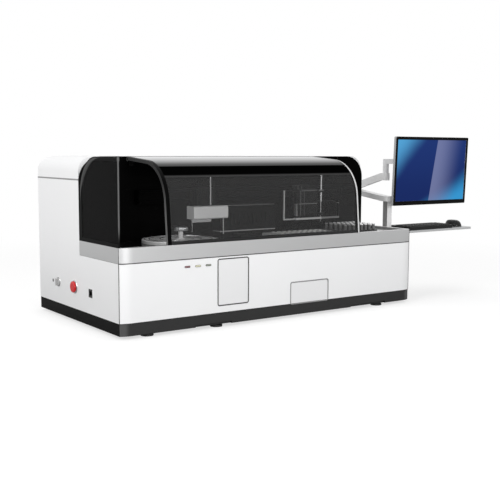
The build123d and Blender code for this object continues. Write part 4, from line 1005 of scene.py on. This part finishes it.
# Keyboard: dished key tops
KEY_HALF = 0.0085
low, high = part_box("keyboard_keys")
spots = lattice(
    np.linspace(low.x + KEY_HALF, high.x - KEY_HALF, 14),
    np.linspace(low.y + KEY_HALF, high.y - KEY_HALF, 5),
    low.z,
)
key = squares((
    (KEY_HALF, 0.001, 0.0), (0.0083, 0.0014, 0.001), (0.0074, 0.0018, 0.0040),
    (0.0069, 0.0020, 0.0049), (0.0060, 0.0022, 0.0050), (0.0040, 0.0022, 0.0046),
    (0.0002, 0.0001, 0.0044),
))
keys = skin("key_tops", stacked(spots, key), "key_black", "keyboard_keys")
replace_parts(keys, "keyboard_keys")


def mouse_shell():
    """Shell of the mouse over angles u round it and v up it.

    x = X + a c C (1 - 0.06 S), y = Y + b (0.92 c S + 0.10 sin(v)^2), z = Z + h sin(v), where a
    and b are half the width and length, h is the height, C and S are cos u and sin u to the
    power 0.8 with their signs, and c is cos(v)^0.5.
    """
    low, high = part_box("mouse")
    mid = (low + high) / 2
    u = np.linspace(0, 2 * np.pi, 64, endpoint=False)
    v = np.concatenate([[0.0], np.linspace(0.05, np.pi / 2 - 0.004, 24)])[:, None]
    drawn = np.cos(v) ** 0.5
    c = signed(np.cos(u), 0.8)
    s = signed(np.sin(u), 0.8)
    x = mid.x + (high.x - low.x) / 2 * drawn * c * (1 - 0.06 * s)
    y = mid.y + (high.y - low.y) / 2 * (drawn * s * 0.92 + 0.10 * np.sin(v) ** 2)
    z = low.z + (high.z - low.z) * np.sin(v) + 0 * x
    return np.stack([x, y, z], axis=-1)


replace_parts(skin("mouse_shell", mouse_shell(), "mouse_black", "cabinet"), "mouse")
WHEEL_AHEAD, WHEEL_DROP = 0.024, 0.0115
mid = middle_of("mouse")
spots = [(mid.x, mid.y - WHEEL_AHEAD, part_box("mouse")[1].z - WHEEL_DROP)]
rows = [
    (0.004, -0.004), (0.0082, -0.0035), (0.009, -0.0025), (0.009, 0.0025), (0.0082, 0.0035),
    (0.004, 0.004),
]
wheel = turned(spots, rows, "right", 60, 20, (0, 0.04, 0.04, 0.04, 0.04, 0))
skin("mouse_wheel", wheel, "grey_parts_and_gap_shade", "cabinet")

# Hexagon-socket screws of the rear panel, in two rows
SCREW_EDGE = 0.018
rows = [
    (0.0045, 0), (0.0045, 0.0006), (0.0041, 0.0018), (0.0031, 0.0026), (0.0022, 0.0028),
    (0.0020, 0.0026), (0.0019, 0.0012), (0.0001, 0.0011),
]
wide = front_high.x - front_low.x
spots = [
    (front_low.x + wide * (0.02 + 0.16 * column), back_y, z)
    for column in range(7)
    for z in (front_low.z + SCREW_EDGE, seam_z - SCREW_EDGE)
]
screws = turned(spots, rows, "back", 36, 6, (0, 0, 0, 0, 0.05, 0.05, 0.05, 0))
skin("rear_screws", screws, "chrome", "cabinet")


# Stage: a white floor that keeps the shadow, white all round, soft lamps
def floor_finish():
    """Pale floor that fades to the white of the backdrop away from the object."""
    paint = Paint("floor_white", grey(0.42), 0.7, **shine(0.05))
    away = paint.node("ShaderNodeVectorMath", {"operation": "LENGTH"}, {0: paint.place}, "Value")
    glow = paint.node("ShaderNodeEmission", None, {"Color": grey(1.0), "Strength": 1.0})
    lit = paint.node("ShaderNodeEmission", None, {"Color": grey(1.0), "Strength": 0.62})
    plain = Wire(paint, paint.surface.outputs[0])
    mixed = paint.node("ShaderNodeAddShader", None, {0: plain, 1: lit})
    seen = paint.node("ShaderNodeLightPath", output="Is Camera Ray")
    near = paint.node("ShaderNodeMixShader", None, {0: seen, 1: plain, 2: mixed})
    whole = paint.node("ShaderNodeMixShader", None, {0: away.ease(1.6, 3.4), 1: near, 2: glow})
    paint.fill(paint.output, {"Surface": whole})
    return paint.material


def flat_square(name, half, level):
    """Level square sheet about the middle of the scene."""
    mesh = bpy.data.meshes.new(name)
    corners = [(x * half, y * half, level) for x, y in ((-1, -1), (1, -1), (1, 1), (-1, 1))]
    mesh.from_pydata(corners, [], [(0, 1, 2, 3)])
    thing = bpy.data.objects.new(name, mesh)
    scene.collection.objects.link(thing)
    return thing


floor = flat_square("floor", 40.0, 0.0)
floor.data.materials.append(floor_finish())

# Surroundings: full white where seen or mirrored, dimmer as a light
SKY_LIGHT = 0.55
world = bpy.data.worlds.new("studio")
scene.world = world
world.use_nodes = True
sky = world.node_tree


def sky_top(first, second):
    """Greater of two outputs in the nodes of the surroundings."""
    greater = sky.nodes.new("ShaderNodeMath")
    greater.operation = "MAXIMUM"
    sky.links.new(first, greater.inputs[0])
    sky.links.new(second, greater.inputs[1])
    return greater.outputs[0]


paths = sky.nodes.new("ShaderNodeLightPath").outputs
shown = sky_top(paths["Is Camera Ray"], paths["Is Glossy Ray"])
level = sky.nodes.new("ShaderNodeMapRange")
level.inputs["To Min"].default_value = SKY_LIGHT
level.inputs["To Max"].default_value = 1.0
sky.links.new(sky_top(shown, paths["Is Transmission Ray"]), level.inputs["Value"])
background = sky.nodes["Background"]
sky.links.new(level.outputs["Result"], background.inputs["Strength"])
background.inputs["Color"].default_value = (1.0, 1.0, 1.0, 1.0)


def lamp(name, place, aim, size, power):
    """Square soft lamp that faces a point."""
    light = bpy.data.lights.new(name, "AREA")
    light.size = size
    light.energy = power
    thing = bpy.data.objects.new(name, light)
    scene.collection.objects.link(thing)
    thing.location = place
    thing.rotation_euler = (Vector(aim) - Vector(place)).to_track_quat("-Z", "Y").to_euler()


lamp("front_lamp", (-0.9, -5.0, 1.4), (-0.4, 0.0, 0.35), 1.6, 105.0)
lamp("side_lamp", (-4.2, -1.0, 2.2), (-0.3, 0.0, 0.35), 2.6, 66.0)
lamp("top_lamp", (0.0, 0.2, 4.2), (0.0, 0.0, 0.5), 3.4, 40.0)

# Camera: turned from straight ahead, dipped, and rolled a little
turn, dip, roll = (radians(angle) for angle in (CAMERA_TURN, CAMERA_DIP, CAMERA_ROLL))
ahead = Vector((sin(turn) * cos(dip), cos(turn) * cos(dip), -sin(dip)))
flat_right = Vector((cos(turn), -sin(turn), 0.0))
flat_up = flat_right.cross(ahead)
right_way = flat_right * cos(roll) + flat_up * sin(roll)
up_way = flat_up * cos(roll) - flat_right * sin(roll)
camera_data = bpy.data.cameras.new("camera")
camera_data.lens = CAMERA_LENS
camera_data.sensor_width = 36.0
camera = bpy.data.objects.new("camera", camera_data)
scene.collection.objects.link(camera)
turned_axes = Matrix((right_way, up_way, -ahead)).transposed()
camera.matrix_world = Matrix.Translation(CAMERA_PLACE) @ turned_axes.to_4x4()
scene.camera = camera
scene.view_settings.view_transform = "Standard"
